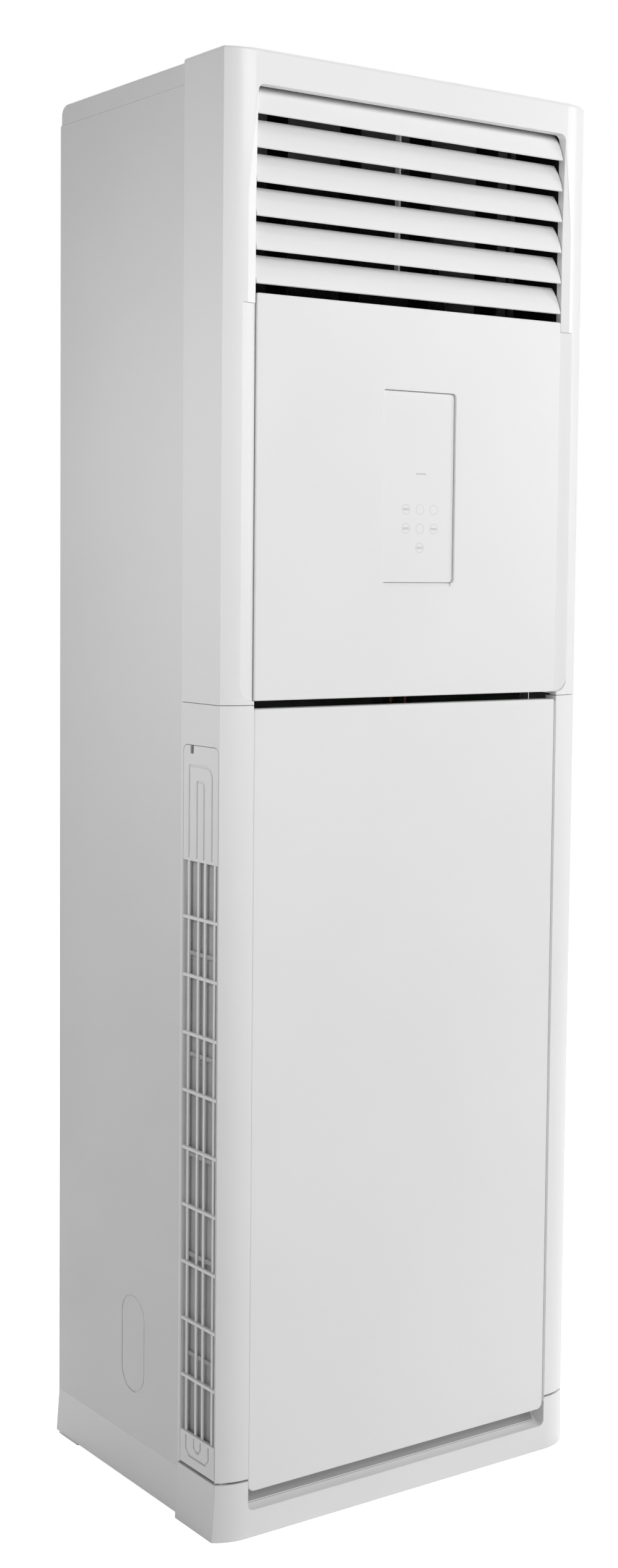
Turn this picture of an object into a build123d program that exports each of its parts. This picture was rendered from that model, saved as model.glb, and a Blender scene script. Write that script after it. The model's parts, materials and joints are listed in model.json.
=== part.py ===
from build123d import *
import math
import os

# Floor standing air conditioner. Sizes in millimetres.
# X runs across the front, Y from the front to the back, Z upwards.
# The origin lies on the floor, under the middle of the cabinet.

# ---- overall size ----
WIDTH = 566.0            # over the flared base
DEPTH = 420.0
HEIGHT = 1800.0

# ---- walls and seams ----
PLASTIC = 3.0            # wall of the moulded parts
SHEET = 1.2              # steel sheet of the cabinet
FLANGE = 15.0            # folded edges of the sheets
SEAM = 0.6               # seam between fixed mouldings
PANEL_GAP = 1.5          # seam round the front panels
RUNNING = 0.1            # radial play of every pin in its hole
FREE = 0.5               # room beside a part that moves

# ---- front mouldings ----
FRONT_DEPTH = 100.0      # the moulded front reaches this far back
SIDE_STEP = 3.5          # the steel cabinet stands in by this much
CORNER_WIDTH = 38.0      # crowned corners: in from the side, and back to the crease
CORNER_DEPTH = 12.0
TOP_ROUND = 5.0
OPENING_WIDTH = 478.0    # width of the opening between the columns
BEZEL_WIDTH = 23.0       # thick border of the opening
BEZEL_DEPTH = 12.5
PANEL_SETBACK = 1.5      # the panels lie this far behind the columns
PANEL_RIM = 20.0         # depth of the rims of the panels

# ---- heights of the front ----
BASE_HEIGHT = 72.0
BASE_GAP = 3.0
SLOT_LEVEL = 1022.0      # top edge of the lower panel
SLOT_HEIGHT = 10.0
PANEL_BOTTOM = 57.0      # bottom edge of the lower panel
LIP_MARGIN = 41.5        # top of the casing to the top of the outlet
PANEL_CORNER = 9.0       # lower corners of the lower panel
PANEL_EASE = 2.0         # other corners of both panels

# ---- scooped recess beside the upper panel, bevel beside the louvers ----
SCOOP_WIDTH = 19.0
SCOOP_DEPTH = 4.5
BEVEL_WIDTH = 12.5
BEVEL_DEPTH = 3.5
BEVEL_BELOW_LIP = 10.0
BEVEL_RUNOUT = 120.0
BEVEL_FOOT = 12.5        # bevel ends this far below the outlet

# ---- lower panel hinge and grip ----
HINGE_DROP = 12.0        # hinge pins below the top edge of the panel
HINGE_BACK = 15.0        # hinge pins behind the front plane
HINGE_PIN = 3.0
GRIP_LIP = 34.0          # lower edge of the scoop above the floor
GRIP_RISE = 8.0          # rise of its floor to the back
GRIP_HOLLOW = 2.0        # sag of its floor
GRIP_WALL = 6.0          # upright thickness under its floor
GRIP_CORNER = 8.0

# ---- display ----
LENS_WIDTH = 114.0
LENS_HEIGHT = 238.0
LENS_CENTRE = 7.0
LENS_BELOW_OUTLET = 103.0
LENS_THICKNESS = 3.0
LENS_CORNER = 5.0
LENS_SINK = 3.0          # face of the lens behind the face of its panel
LENS_SLOPE = 4.5         # height of the slope under the lens
LENS_ROOM = 0.5          # gap round the lens
LENS_LEDGE = 6.0         # width of the ledge behind the lens
LENS_SEAT = 2.0          # thickness of that ledge
BOARD = 1.6
BOARD_BACK = 16.0        # the display board behind the front plane
BOSS = 3.0               # half the width of the bosses of the board
PAD = 7.0                # half the width of a touch pad
PAD_PITCH = (24.0, 25.0)
PAD_DROP = 28.0          # upper row of pads below the middle of the lens
NUMERAL_BLOCK = (60.0, 50.0)
NUMERAL_RISE = 50.0      # numeral block above the middle of the lens
BLOCK_HEIGHT = 6.0       # pads and numeral block stand this far off the board

# ---- side grilles ----
GRILLE_WIDTH = 81.0
GRILLE_LAND = 1.0        # front edge of the grille behind the crease
GRILLE_HEAD = 51.0       # top of the grille below the top of the column
GRILLE_GAP = 0.6
GRILLE_FOOT = 4.5        # gap over the base
GRILLE_THICKNESS = 4.0
CELL_PITCH = 72.0
CELL_BOTTOM = 118.0
CELLS_HEAD = 135.0       # least room for the arches above the cells
CROSS_RIB = 4.0
GRILLE_RAIL = 1.2        # side rails beside the cells
BAR_RECESS = 2.0
BAR_WIDTH = 4.4
BAR_FROM_RAIL = 9.0      # outer bars from the side rails
BAR_FROM_MIDDLE = 7.8    # inner bars from the middle of the grille
ARCH_GROOVE = 2.4
ARCH_GROOVE_DEPTH = 1.4
ARCH_REAR_CORNER = 2.5
ARCH_FRONT_SHARE = 0.5   # radius of the front corner as a share of half the arch's width
ARCH_FROM_RAIL = 11.5    # wide arch: legs from the side rails, top below the top of the grille
ARCH_TOP = 23.5
SLIM_ARCH = 9.0          # slim arch: half its width, and its top
SLIM_ARCH_TOP = 42.5
NOTCH_WIDTH = 7.0
NOTCH_DEPTH = 10.0
NOTCH_PLACE = 20.0
GRILLE_PIN = 2.0
GRILLE_AXIS_IN = 12.0    # hinge axis behind the outer face
GRILLE_AXIS_UP = 9.0     # hinge axis above the base
KNUCKLE = 8.0
EAR = 5.0                # half the width of the ears that hold the pins
EAR_OUT = 2.0            # ears outside the edges of the grille
FILTER_THICKNESS = 4.0
FILTER_MESH = 0.8
FILTER_FRAME = 5.0
FILTER_WINDOWS = 6

# ---- steel cabinet ----
REAR_BASE_HEIGHT = 64.0
BASE_FLARE = 3.0         # base wider than the casing on each side
FLARE_TOP = 61.0         # where the flare starts
REAR_LIFT = 5.0          # rear skirt above the floor
REAR_FOOT = 52.0         # feet under the rear corners
CAP_HEIGHT = 26.5
CAP_REAR_ROUND = 15.0
CAP_SIDE_ROUND = 4.0
BRACKET_THICKNESS = 2.0
BRACKET_WIDTH = 120.0
BRACKET_HEIGHT = 60.0
BRACKET_HOLE = 3.5
BRACKET_HOLE_SPACING = 80.0
BRACKET_CORNER = 8.0
BRACKET_DROP = 20.0      # bracket below the skirt of the cap
COVER_LENGTH = 124.0     # pipe knock-outs
COVER_WIDTH = 54.0
COVER_GAP = 2.0
CAP_SEAM = 0.8           # height and depth of the line under the skirt of the top cover
COVER_LAP = 5.0
COVER_SETBACK = 0.4
COVER_HEIGHT = 187.0
COVER_BACK = 7.5
GLAND_BORE = 5.0
GLAND_BODY = 9.0
GLAND_FLANGE = 13.0
GLAND_RIM = 1.6
GLAND_NUT = 6.0
GLAND_PLACE = (-180.0, 160.0)
SCREW_HEAD = 4.5
SCREW_HEIGHT = 1.8
SCREW_IN = 7.0           # screws in from the edge of the back
SCREW_MARGIN = 30.0
SCREW_ROWS = 4

# ---- louvers ----
LOUVER_COUNT = 6
LOUVER_PITCH = 39.6
LOUVER_FIRST = 55.3      # pivot of the top louver below the top of the casing
LOUVER_PIVOT_BACK = 18.0
LOUVER_AHEAD = 15.0      # foot of a louver ahead of its pivot
LOUVER_BEHIND = 3.0      # head of a louver behind its pivot
LOUVER_RISE = 16.0       # head of a louver above its pivot
LOUVER_LAP = 4.6         # upright gap between neighbours
LOUVER_BOW = 2.4
LOUVER_THICKNESS = 2.0
LOUVER_END_GAP = 1.0
OUTLET_GAP = 11.7        # gap under the lowest louver
LOUVER_PIN = 2.5
CRANK = (26.0, 8.0)      # link pin from the pivot
CRANK_PIN = 1.5
LINK_THICKNESS = 3.0
LINK_WIDTH = 8.0
LUG_THICKNESS = 3.0

# ---- upright vanes ----
VANE_COUNT = 4
VANE_PITCH = 110.0
VANE_PIVOT_BACK = 70.0
VANE_AHEAD = 22.0
VANE_BEHIND = 22.0
VANE_THICKNESS = 1.6
VANE_PIN = 2.0
VANE_LINK_OFFSET = 17.0
VANE_NOTCH_HEIGHT = 14.0
VANE_NOTCH_DEPTH = 8.0
STAY_PLACE = 181.0

# ---- outlet duct ----
DUCT_ABOVE = 7.0
DUCT_BELOW = 4.0
MOTOR_OFFSET = 9.0       # middle of a step motor behind its shaft
STEP_MOTOR = 14.0        # radius
STEP_MOTOR_LENGTH = 19.0
EAR_WIDTH = 8.0
EAR_THICKNESS = 2.0
PLUG = 3.0

# ---- fan ----
FAN_LEVEL = 430.0
BLADE_DEPTH = 26.0
BLADE_COUNT = 24
BLADE_SWEEP = 8.0
BLADE_THICKNESS_DEGREES = 0.65
WHEEL_FRONT_ROOM = 8.0
WHEEL_BACK_ROOM = 10.0
WHEEL_PLATE = 2.0
HUB_RADIUS = 22.0
SHAFT_RADIUS = 6.0
FILTER_SPACE = 60.0      # front moulding to the scroll
SCROLL_SIDE_ROOM = 40.3  # scroll to the steel side
SCROLL_ROOM = 26.0       # tightest part of the scroll to the wheel
SCROLL_STEP = 18.0
SCROLL_WALL = 2.0
TONGUE_ROUND = 12.0
SHELF_LEVEL = 800.0
THROAT_STEP = 34.0       # throat of the inlet inside the wheel
INLET_ROUND = 20.0
INLET_FLANGE = 30.0
MOTOR_RADIUS = 62.0
MOTOR_LENGTH = 78.0
MOTOR_EASE = 12.0
MOTOR_ROOM = 13.8        # motor to the steel back
MOTOR_BRACKET = 3.0
BEARING_DEPTH = 21.0
BRACKET_SPAN = 190.0     # steel cross of the motor
BRACKET_ARM = 50.0
BRACKET_ROOM = 6.0       # hole of the cross round the shaft

# ---- coil and drain ----
COIL_THICKNESS = 50.0
COIL_END_ROOM = 35.0
COIL_FRONT_ROOM = 35.0   # rooms round the middle line of the coil
COIL_REAR_ROOM = 87.6
COIL_TOP_ROOM = 31.9
COIL_FOOT = 12.9
FOOT_WIDTH = 36.0
TRAY_LEVEL = 1045.0
TRAY_HEIGHT = 40.0
TRAY_FRONT_ROOM = 5.0
TRAY_DEPTH = 130.0
TRAY_END_ROOM = 12.0
RAIL_WIDTH = 30.0
RAIL_DROP = 25.0
SPOUT_LENGTH = 15.0
SPOUT_IN = 20.0
SPOUT_RADIUS = 7.0
SPOUT_BORE = 5.0
TUBE_RADIUS = 4.8
BEND_RADIUS = 12.5
BEND_COUNT = 4
HOSE_RADIUS = 9.0
HOSE_IN = 50.0
GAS_PIPE = 8.0
LIQUID_PIPE = 4.8
GAS_AHEAD = 40.0         # pipes ahead of the back
LIQUID_AHEAD = 75.0
GAS_LEVEL = 1320.0       # where the pipes leave the coil
LIQUID_LEVEL = 1240.0
NUT_HEIGHT = 30.0
NUT_MARGIN = 6.0

# ---- electric parts ----
BOX_MARGIN = 15.0        # control box: in from the opening, up from the slot, and size
BOX_RISE = 60.0
BOX_WIDTH = 160.0
BOX_HEIGHT = 330.0
BOX_DEPTH = 55.0
BOARD_WIDTH = 140.0
BOARD_HEIGHT = 190.0
SPACER = 10.0
BOARD_BLOCKS = (          # place, size and height of the blocks on the main board
    ((-32.0, -58.0), (45.0, 45.0), 32.0),
    ((15.0, -61.0), (20.0, 28.0), 16.0),
    ((42.0, -61.0), (20.0, 28.0), 16.0),
    ((27.0, 25.0), (55.0, 60.0), 6.0),
)
CAPACITOR_PLACE = (-30.0, 25.0)
CAPACITOR_RADIUS = 14.0
CAPACITOR_HEIGHT = 30.0
TERMINAL_SIZE = (90.0, 32.0)
TERMINAL_DEPTH = 20.0
TERMINAL_COUNT = 5
TERMINAL_WALL = 3.0
TERMINAL_RISE = 40.0     # terminals above the foot of the control box

# ---- places worked out from the sizes above ----
SIDE = WIDTH / 2 - BASE_FLARE
FRONT = -DEPTH / 2
REAR = DEPTH / 2
CORNER_RADIUS = (CORNER_WIDTH**2 + CORNER_DEPTH**2) / (2 * CORNER_DEPTH)
SEAM_Y = FRONT + FRONT_DEPTH
OPENING = OPENING_WIDTH / 2
PANEL_SIDE = OPENING - PANEL_GAP
PANEL_FACE = FRONT + PANEL_SETBACK
PANEL_TOP = SLOT_LEVEL + SLOT_HEIGHT
LIP = HEIGHT - LIP_MARGIN
LOUVER_TOP_Z = HEIGHT - LOUVER_FIRST
LOUVER_DROP = LOUVER_PITCH - LOUVER_RISE - LOUVER_LAP
OUTLET_BOTTOM = LOUVER_TOP_Z - (LOUVER_COUNT - 1) * LOUVER_PITCH - LOUVER_DROP - OUTLET_GAP
COLUMN_BOTTOM = BASE_HEIGHT + BASE_GAP
COLUMN_TOP = SLOT_LEVEL + SLOT_HEIGHT / 2
BEZEL_BACK = FRONT + BEZEL_DEPTH
HINGE_Y = FRONT + HINGE_BACK
HINGE_Z = SLOT_LEVEL - HINGE_DROP
STEEL_SIDE = SIDE - SIDE_STEP
STEEL_TOP = HEIGHT - SIDE_STEP
STEEL_REAR = REAR - BRACKET_THICKNESS
INNER_SIDE = STEEL_SIDE - SHEET
INNER_REAR = STEEL_REAR - SHEET
CAP_BOTTOM = STEEL_TOP - CAP_HEIGHT
GRILLE_Y = FRONT + CORNER_DEPTH + GRILLE_LAND + GRILLE_WIDTH / 2
GRILLE_TOP = COLUMN_TOP - GRILLE_HEAD
GRILLE_BOTTOM = BASE_HEIGHT + GRILLE_FOOT
GRILLE_AXIS_X = SIDE - GRILLE_AXIS_IN
GRILLE_AXIS_Z = BASE_HEIGHT + GRILLE_AXIS_UP
CELL_COUNT = int((GRILLE_TOP - CELLS_HEAD - CELL_BOTTOM) / CELL_PITCH)
CELL_HALF_WIDTH = GRILLE_WIDTH / 2 - GRILLE_GAP - GRILLE_RAIL
BAR_OUT = CELL_HALF_WIDTH - BAR_FROM_RAIL
BAR_PLACES = (-BAR_OUT, -BAR_FROM_MIDDLE, BAR_FROM_MIDDLE, BAR_OUT)
ARCHES = ((CELL_HALF_WIDTH - ARCH_FROM_RAIL, ARCH_TOP), (SLIM_ARCH, SLIM_ARCH_TOP))
LENS_TOP = OUTLET_BOTTOM - LENS_BELOW_OUTLET
LENS_MIDDLE = LENS_TOP - LENS_HEIGHT / 2
SEAT_BACK = PANEL_FACE + LENS_SINK + LENS_THICKNESS
DUCT_SIDE = OPENING + PLASTIC
DUCT_TOP = LIP + DUCT_ABOVE
DUCT_BOTTOM = OUTLET_BOTTOM - DUCT_BELOW
LOUVER_Y = FRONT + LOUVER_PIVOT_BACK
VANE_Y = FRONT + VANE_PIVOT_BACK
VANE_MIDDLE = (DUCT_TOP + DUCT_BOTTOM) / 2
SCROLL_FRONT = SEAM_Y + FILTER_SPACE
MOTOR_FRONT = INNER_REAR - MOTOR_ROOM - MOTOR_LENGTH
SCROLL_BACK = MOTOR_FRONT - MOTOR_BRACKET
SCROLL_REACH = INNER_SIDE - SCROLL_SIDE_ROOM
SCROLL_START = SCROLL_REACH - 2.5 * SCROLL_STEP
WHEEL_RADIUS = SCROLL_START - SCROLL_ROOM
WHEEL_FRONT = SCROLL_FRONT + WHEEL_FRONT_ROOM
WHEEL_BACK = SCROLL_BACK - WHEEL_BACK_ROOM
BLADE_INNER = WHEEL_RADIUS - BLADE_DEPTH
INLET_THROAT = WHEEL_RADIUS - THROAT_STEP
INLET_HOLE = INLET_THROAT + INLET_ROUND + 2
TRAY_FRONT = SEAM_Y + TRAY_FRONT_ROOM
TRAY_FLOOR = TRAY_LEVEL + PLASTIC
HOSE_DROP = (-STEEL_SIDE + HOSE_IN, TRAY_FRONT + TRAY_DEPTH - SPOUT_IN)
COIL_SIDE = INNER_SIDE - COIL_END_ROOM
GAS_DROP = (COIL_SIDE + FLANGE / 2, STEEL_REAR - GAS_AHEAD)
LIQUID_DROP = (COIL_SIDE + FLANGE / 2, STEEL_REAR - LIQUID_AHEAD)
COIL_RISE = CAP_BOTTOM - COIL_TOP_ROOM - TRAY_FLOOR - COIL_FOOT
COIL_RUN = INNER_REAR - COIL_REAR_ROOM - SEAM_Y - COIL_FRONT_ROOM
COIL_LENGTH = math.hypot(COIL_RUN, COIL_RISE)
COIL_LEAN = math.degrees(math.atan2(COIL_RUN, COIL_RISE))
COIL_Y = SEAM_Y + COIL_FRONT_ROOM + COIL_RUN / 2
COIL_Z = TRAY_FLOOR + COIL_FOOT + COIL_RISE / 2
BOX_LEFT = BOX_MARGIN - OPENING
BOX_FOOT = PANEL_TOP + BOX_RISE


# ---- helpers ----
def box(x, y, z):
    """Box between two values along each axis."""
    middle = Pos((x[0] + x[1]) / 2, (y[0] + y[1]) / 2, (z[0] + z[1]) / 2)
    return middle * Box(x[1] - x[0], y[1] - y[0], z[1] - z[0])


def along_x(sketch, x_low, x_high):
    """A sketch drawn in (Y, Z), extruded from x_low to x_high."""
    plane = Plane(origin=(x_low, 0, 0), x_dir=(0, 1, 0), z_dir=(1, 0, 0))
    return extrude(plane * sketch, amount=x_high - x_low)


def along_y(sketch, y_low, y_high):
    """A sketch drawn in (X, Z), extruded from y_low to y_high."""
    plane = Plane(origin=(0, y_high, 0), x_dir=(1, 0, 0), z_dir=(0, -1, 0))
    return extrude(plane * sketch, amount=y_high - y_low)


def along_z(sketch, z_low, z_high):
    """A sketch drawn in (X, Y), extruded from z_low to z_high."""
    return Pos(0, 0, z_low) * extrude(sketch, amount=z_high - z_low)


def polygon(*points):
    return make_face(Polyline(*points, close=True))


def rod_x(radius, x_low, x_high, y, z):
    return along_x(Pos(y, z) * Circle(radius), x_low, x_high)


def rod_y(radius, x, y_low, y_high, z):
    return along_y(Pos(x, z) * Circle(radius), y_low, y_high)


def rod_z(radius, x, y, z_low, z_high):
    return along_z(Pos(x, y) * Circle(radius), z_low, z_high)


def both_sides(shape):
    return shape + mirror(shape, about=Plane.YZ)


def casing_plan(inset, y_rear, half_width=SIDE):
    """Plan of the moulded front: flat in the middle, crowned corners that end in a crease."""
    flat = SIDE - CORNER_WIDTH
    reach = half_width - inset
    radius = CORNER_RADIUS - inset
    sweep = math.degrees(math.asin((reach - flat) / radius))
    crown = CenterArc((flat, FRONT + CORNER_RADIUS), radius, -90, sweep)
    front = (0, FRONT + inset)
    half = [Line((0, y_rear), front), Line(front, crown @ 0), crown, Line(crown @ 1, (reach, y_rear)),
            Line((reach, y_rear), (0, y_rear))]
    return both_sides(make_face(half))


def crown_y(x):
    """Depth of the crowned corner at a place beside the flat front."""
    return FRONT + CORNER_RADIUS - math.sqrt(CORNER_RADIUS**2 - (x - SIDE + CORNER_WIDTH)**2)


def casing_block(inset, y_rear, z_low, z_high):
    """Upright block in the plan of the casing."""
    return along_z(casing_plan(inset, y_rear), z_low, z_high)


def flared_sides(half_width, z_low, z_high, y):
    """Upright block whose sides flare outwards below the top of the flare."""
    foot = half_width + BASE_FLARE
    outline = polygon((-foot, z_low), (-half_width, FLARE_TOP), (-half_width, z_high),
                      (half_width, z_high), (half_width, FLARE_TOP), (foot, z_low))
    return along_y(outline, *y)


def louver_pivot(index):
    return LOUVER_TOP_Z - index * LOUVER_PITCH


def vane_place(index):
    return (index - (VANE_COUNT - 1) / 2) * VANE_PITCH


# ---- front mouldings ----
def upper_front_frame():
    """Shell round the outlet and the upper panel, open at the back and below."""
    bottom = COLUMN_TOP + SEAM / 2
    shell = casing_block(0, SEAM_Y, bottom, HEIGHT)
    shell = fillet(shell.faces().sort_by(Axis.Z)[-1].edges().sort_by(Axis.Y)[:-1], TOP_ROUND)
    shell -= casing_block(PLASTIC, SEAM_Y + 1, bottom - 1, HEIGHT - PLASTIC)
    border = OPENING + BEZEL_WIDTH
    around = box((-border, border), (FRONT, BEZEL_BACK), (bottom, LIP + BEZEL_WIDTH))
    shell += around & casing_block(0, BEZEL_BACK, bottom, HEIGHT)
    outlet = Rectangle(OPENING_WIDTH, 2 * (LIP - bottom))
    outlet = fillet(outlet.vertices().sort_by(Axis.Y)[-2:], PANEL_CORNER)
    shell -= along_y(Pos(0, bottom) * outlet, FRONT - 1, BEZEL_BACK + 1)
    return shell - both_sides(upper_bevels())


def upper_bevels():
    """Bevel beside the louvers, running out at its top, and the scoop beside the panel."""
    full = bevel_section(BEVEL_WIDTH, BEVEL_DEPTH)
    bevel_top = LIP - BEVEL_BELOW_LIP
    turn = OUTLET_BOTTOM - BEVEL_FOOT
    bevel = along_z(full, turn, bevel_top - BEVEL_RUNOUT)
    point = bevel_section(BEVEL_WIDTH / 20, BEVEL_DEPTH / 20)
    bevel += loft([Pos(0, 0, bevel_top - BEVEL_RUNOUT) * full, Pos(0, 0, bevel_top) * point])
    scoop = along_z(bevel_section(SCOOP_WIDTH, SCOOP_DEPTH), COLUMN_TOP, turn)
    outline = Rectangle(2 * (OPENING + SCOOP_WIDTH), 2 * (turn - PANEL_TOP))
    outline = fillet(outline.vertices().sort_by(Axis.Y)[:2], SCOOP_WIDTH)
    return bevel + (scoop & along_y(Pos(0, turn) * outline, FRONT - 1, BEZEL_BACK))


def bevel_section(width, depth):
    """Right hand bevel as a triangle in (X, Y)."""
    edge = OPENING + width
    edge_y = crown_y(max(edge, SIDE - CORNER_WIDTH))
    return polygon((OPENING - 1, FRONT - 1), (edge, FRONT - 1), (edge, edge_y), (OPENING, FRONT + depth),
                   (OPENING - 1, FRONT + depth))


def lower_column(side):
    """Column beside the lower panel, with the opening for the side grille; side is -1 or 1."""
    top = COLUMN_TOP - SEAM / 2
    column = casing_block(0, SEAM_Y, COLUMN_BOTTOM, top)
    column -= casing_block(PLASTIC, SEAM_Y + 1, COLUMN_BOTTOM - 1, top + 1)
    column &= box((0, SIDE), (FRONT, SEAM_Y), (COLUMN_BOTTOM, top))
    column -= box((0, OPENING), (FRONT, SEAM_Y), (COLUMN_BOTTOM, top))
    column += box((OPENING, OPENING + PLASTIC), (FRONT, PANEL_FACE + PANEL_RIM), (COLUMN_BOTTOM, top))
    column -= rod_x(HINGE_PIN + RUNNING, OPENING - 1, OPENING + PLASTIC + 1, HINGE_Y, HINGE_Z)
    half = GRILLE_WIDTH / 2
    window = Pos(GRILLE_Y, 0) * Rectangle(GRILLE_WIDTH, 2 * GRILLE_TOP)
    window = fillet(window.vertices().sort_by(Axis.Y)[-2:], PANEL_CORNER)
    column -= along_x(window, SIDE - PLASTIC - 1, SIDE + 1)
    lintel = box((SIDE - PLASTIC - 2, SIDE - PLASTIC), (GRILLE_Y - half, GRILLE_Y + half),
                 (GRILLE_TOP - GRILLE_GAP, GRILLE_TOP + FLANGE))
    column += lintel - box((0, SIDE), (GRILLE_Y - half, GRILLE_Y + half), (0, GRILLE_TOP))
    return column if side > 0 else mirror(column, about=Plane.YZ)


def front_base():
    """Moulded base with the finger grip under the lower panel and the ears of the grilles."""
    ledge = PANEL_FACE + PANEL_RIM + PANEL_GAP
    rebate_bottom = PANEL_BOTTOM - PANEL_GAP
    wall_end = OPENING + PLASTIC
    base = base_block(0, SEAM_Y, 0, BASE_HEIGHT)
    hollow = base_block(PLASTIC, SEAM_Y + 1, -1, BASE_HEIGHT - PLASTIC)
    around = polygon((FRONT, GRIP_LIP - GRIP_WALL), (ledge + PLASTIC, GRIP_LIP + GRIP_RISE - GRIP_WALL),
                     (ledge + PLASTIC, BASE_HEIGHT), (FRONT, BASE_HEIGHT))
    hollow -= along_x(around, -wall_end, wall_end)
    base -= hollow
    base -= grip_scoop(ledge, rebate_bottom)
    base -= box((-OPENING, OPENING), (FRONT - 1, ledge), (rebate_bottom, BASE_HEIGHT + 1))
    return base + both_sides(grille_ears())


def base_block(inset, y_rear, z_low, z_high):
    """Block in the plan of the casing whose sides flare towards the floor."""
    plan = casing_plan(inset, y_rear, SIDE + BASE_FLARE)
    return along_z(plan, z_low, z_high) & flared_sides(SIDE - inset, z_low, z_high, (FRONT, y_rear))


def grip_scoop(back, top):
    """Cutter of the finger grip: a hollow floor that rises to the back, its lower corners rounded."""
    lip = (FRONT, GRIP_LIP)
    end = (back, GRIP_LIP + GRIP_RISE)
    mouth = Polyline(end, (back, top), (FRONT - 1, top), (FRONT - 1, GRIP_LIP), lip)
    outline = RectangleRounded(OPENING_WIDTH, 2 * (top - GRIP_LIP), GRIP_CORNER)
    scoop = along_x(make_face([SagittaArc(lip, end, -GRIP_HOLLOW), mouth]), -OPENING, OPENING)
    return scoop & along_y(Pos(0, top) * outline, FRONT - 1, back)


def grille_ears():
    """Right hand pair of ears that hold the hinge pins of a side grille."""
    ears = Part()
    for y_low, y_high in ear_places():
        ear = box((GRILLE_AXIS_X - EAR, GRILLE_AXIS_X + EAR), (y_low, y_high),
                  (BASE_HEIGHT - PLASTIC, GRILLE_AXIS_Z + EAR))
        ears += ear - rod_y(GRILLE_PIN + RUNNING, GRILLE_AXIS_X, y_low - 1, y_high + 1, GRILLE_AXIS_Z)
    return ears


def ear_places():
    """Front and rear edge of the two ears of a grille."""
    near = GRILLE_Y - GRILLE_WIDTH / 2 - EAR_OUT
    far = GRILLE_Y + GRILLE_WIDTH / 2 + EAR_OUT
    return ((near, near + PLASTIC), (far - PLASTIC, far))


def panel_shell(bottom, top, corner):
    """Flat moulded panel with a rim all round, its front edge eased."""
    panel = along_y(panel_outline(0, bottom, top, corner), PANEL_FACE, PANEL_FACE + PANEL_RIM)
    panel = chamfer(panel.faces().sort_by(Axis.Y)[0].edges(), 0.8)
    inside = panel_outline(PLASTIC, bottom, top, corner)
    return panel - along_y(inside, PANEL_FACE + PLASTIC, PANEL_FACE + PANEL_RIM + 1)


def panel_outline(inset, bottom, top, corner):
    """Front view of a panel in (X, Z), with its own radius at the two lower corners."""
    outline = Rectangle(2 * (PANEL_SIDE - inset), top - bottom - 2 * inset)
    outline = fillet(outline.vertices().sort_by(Axis.Y)[:2], corner - inset / 2)
    outline = fillet(outline.vertices().sort_by(Axis.Y)[-2:], PANEL_EASE - inset / 2)
    return Pos(0, (top + bottom) / 2) * outline


def upper_front_panel():
    """Closed panel under the louvers, with the seat of the display lens and bosses for its board."""
    panel = panel_shell(PANEL_TOP, OUTLET_BOTTOM, PANEL_EASE)
    seat = RectangleRounded(LENS_WIDTH + 2 * LENS_ROOM, LENS_HEIGHT + 2 * LENS_ROOM, LENS_CORNER)
    rim = RectangleRounded(LENS_WIDTH + 2 * PLASTIC, LENS_HEIGHT + 2 * PLASTIC, LENS_CORNER)
    window = Rectangle(LENS_WIDTH - 2 * LENS_LEDGE, LENS_HEIGHT - 2 * LENS_LEDGE)
    place = Pos(LENS_CENTRE, LENS_MIDDLE)
    panel += along_y(place * rim, PANEL_FACE + PLASTIC, SEAT_BACK + LENS_SEAT)
    panel -= along_y(place * seat, FRONT - 1, SEAT_BACK)
    panel -= along_y(place * window, FRONT - 1, SEAT_BACK + LENS_SEAT + 1)
    low = LENS_MIDDLE - LENS_HEIGHT / 2 - LENS_ROOM
    slope = polygon((FRONT, low - LENS_SLOPE), (PANEL_FACE, low - LENS_SLOPE),
                    (PANEL_FACE + LENS_SINK, low), (FRONT, low))
    half = LENS_WIDTH / 2 - LENS_CORNER
    panel -= along_x(slope, LENS_CENTRE - half, LENS_CENTRE + half)
    for corner in GridLocations(LENS_WIDTH - 2 * BOSS, LENS_HEIGHT - 2 * BOSS, 2, 2):
        boss = place * corner * Rectangle(2 * BOSS, 2 * BOSS)
        panel += along_y(boss, SEAT_BACK + LENS_SEAT, FRONT + BOARD_BACK)
    return panel


def display_lens():
    """Control window in its seat, its front edge eased."""
    outline = Pos(LENS_CENTRE, LENS_MIDDLE) * RectangleRounded(LENS_WIDTH, LENS_HEIGHT, LENS_CORNER)
    lens = along_y(outline, SEAT_BACK - LENS_THICKNESS, SEAT_BACK)
    return chamfer(lens.faces().sort_by(Axis.Y)[0].edges(), 0.7)


def display_board():
    """Circuit board on the bosses behind the lens, with a numeral display and touch pads."""
    face = FRONT + BOARD_BACK
    board = along_y(Rectangle(LENS_WIDTH, LENS_HEIGHT), face, face + BOARD)
    blocks = Pos(0, NUMERAL_RISE) * Rectangle(*NUMERAL_BLOCK)
    for column in (-1, 0, 1):
        for row in (0, 1):
            blocks += Pos(column * PAD_PITCH[0], -PAD_DROP - row * PAD_PITCH[1]) * Rectangle(2 * PAD, 2 * PAD)
    board += along_y(blocks, face - BLOCK_HEIGHT, face)
    return Pos(LENS_CENTRE, 0, LENS_MIDDLE) * board


def lower_front_panel():
    """Tall loose panel with hinge pins near its top edge."""
    panel = panel_shell(PANEL_BOTTOM, SLOT_LEVEL, PANEL_CORNER)
    pin = rod_x(HINGE_PIN, PANEL_SIDE - PLASTIC, OPENING + PLASTIC - 0.2, HINGE_Y, HINGE_Z)
    return panel + both_sides(pin)


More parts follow.
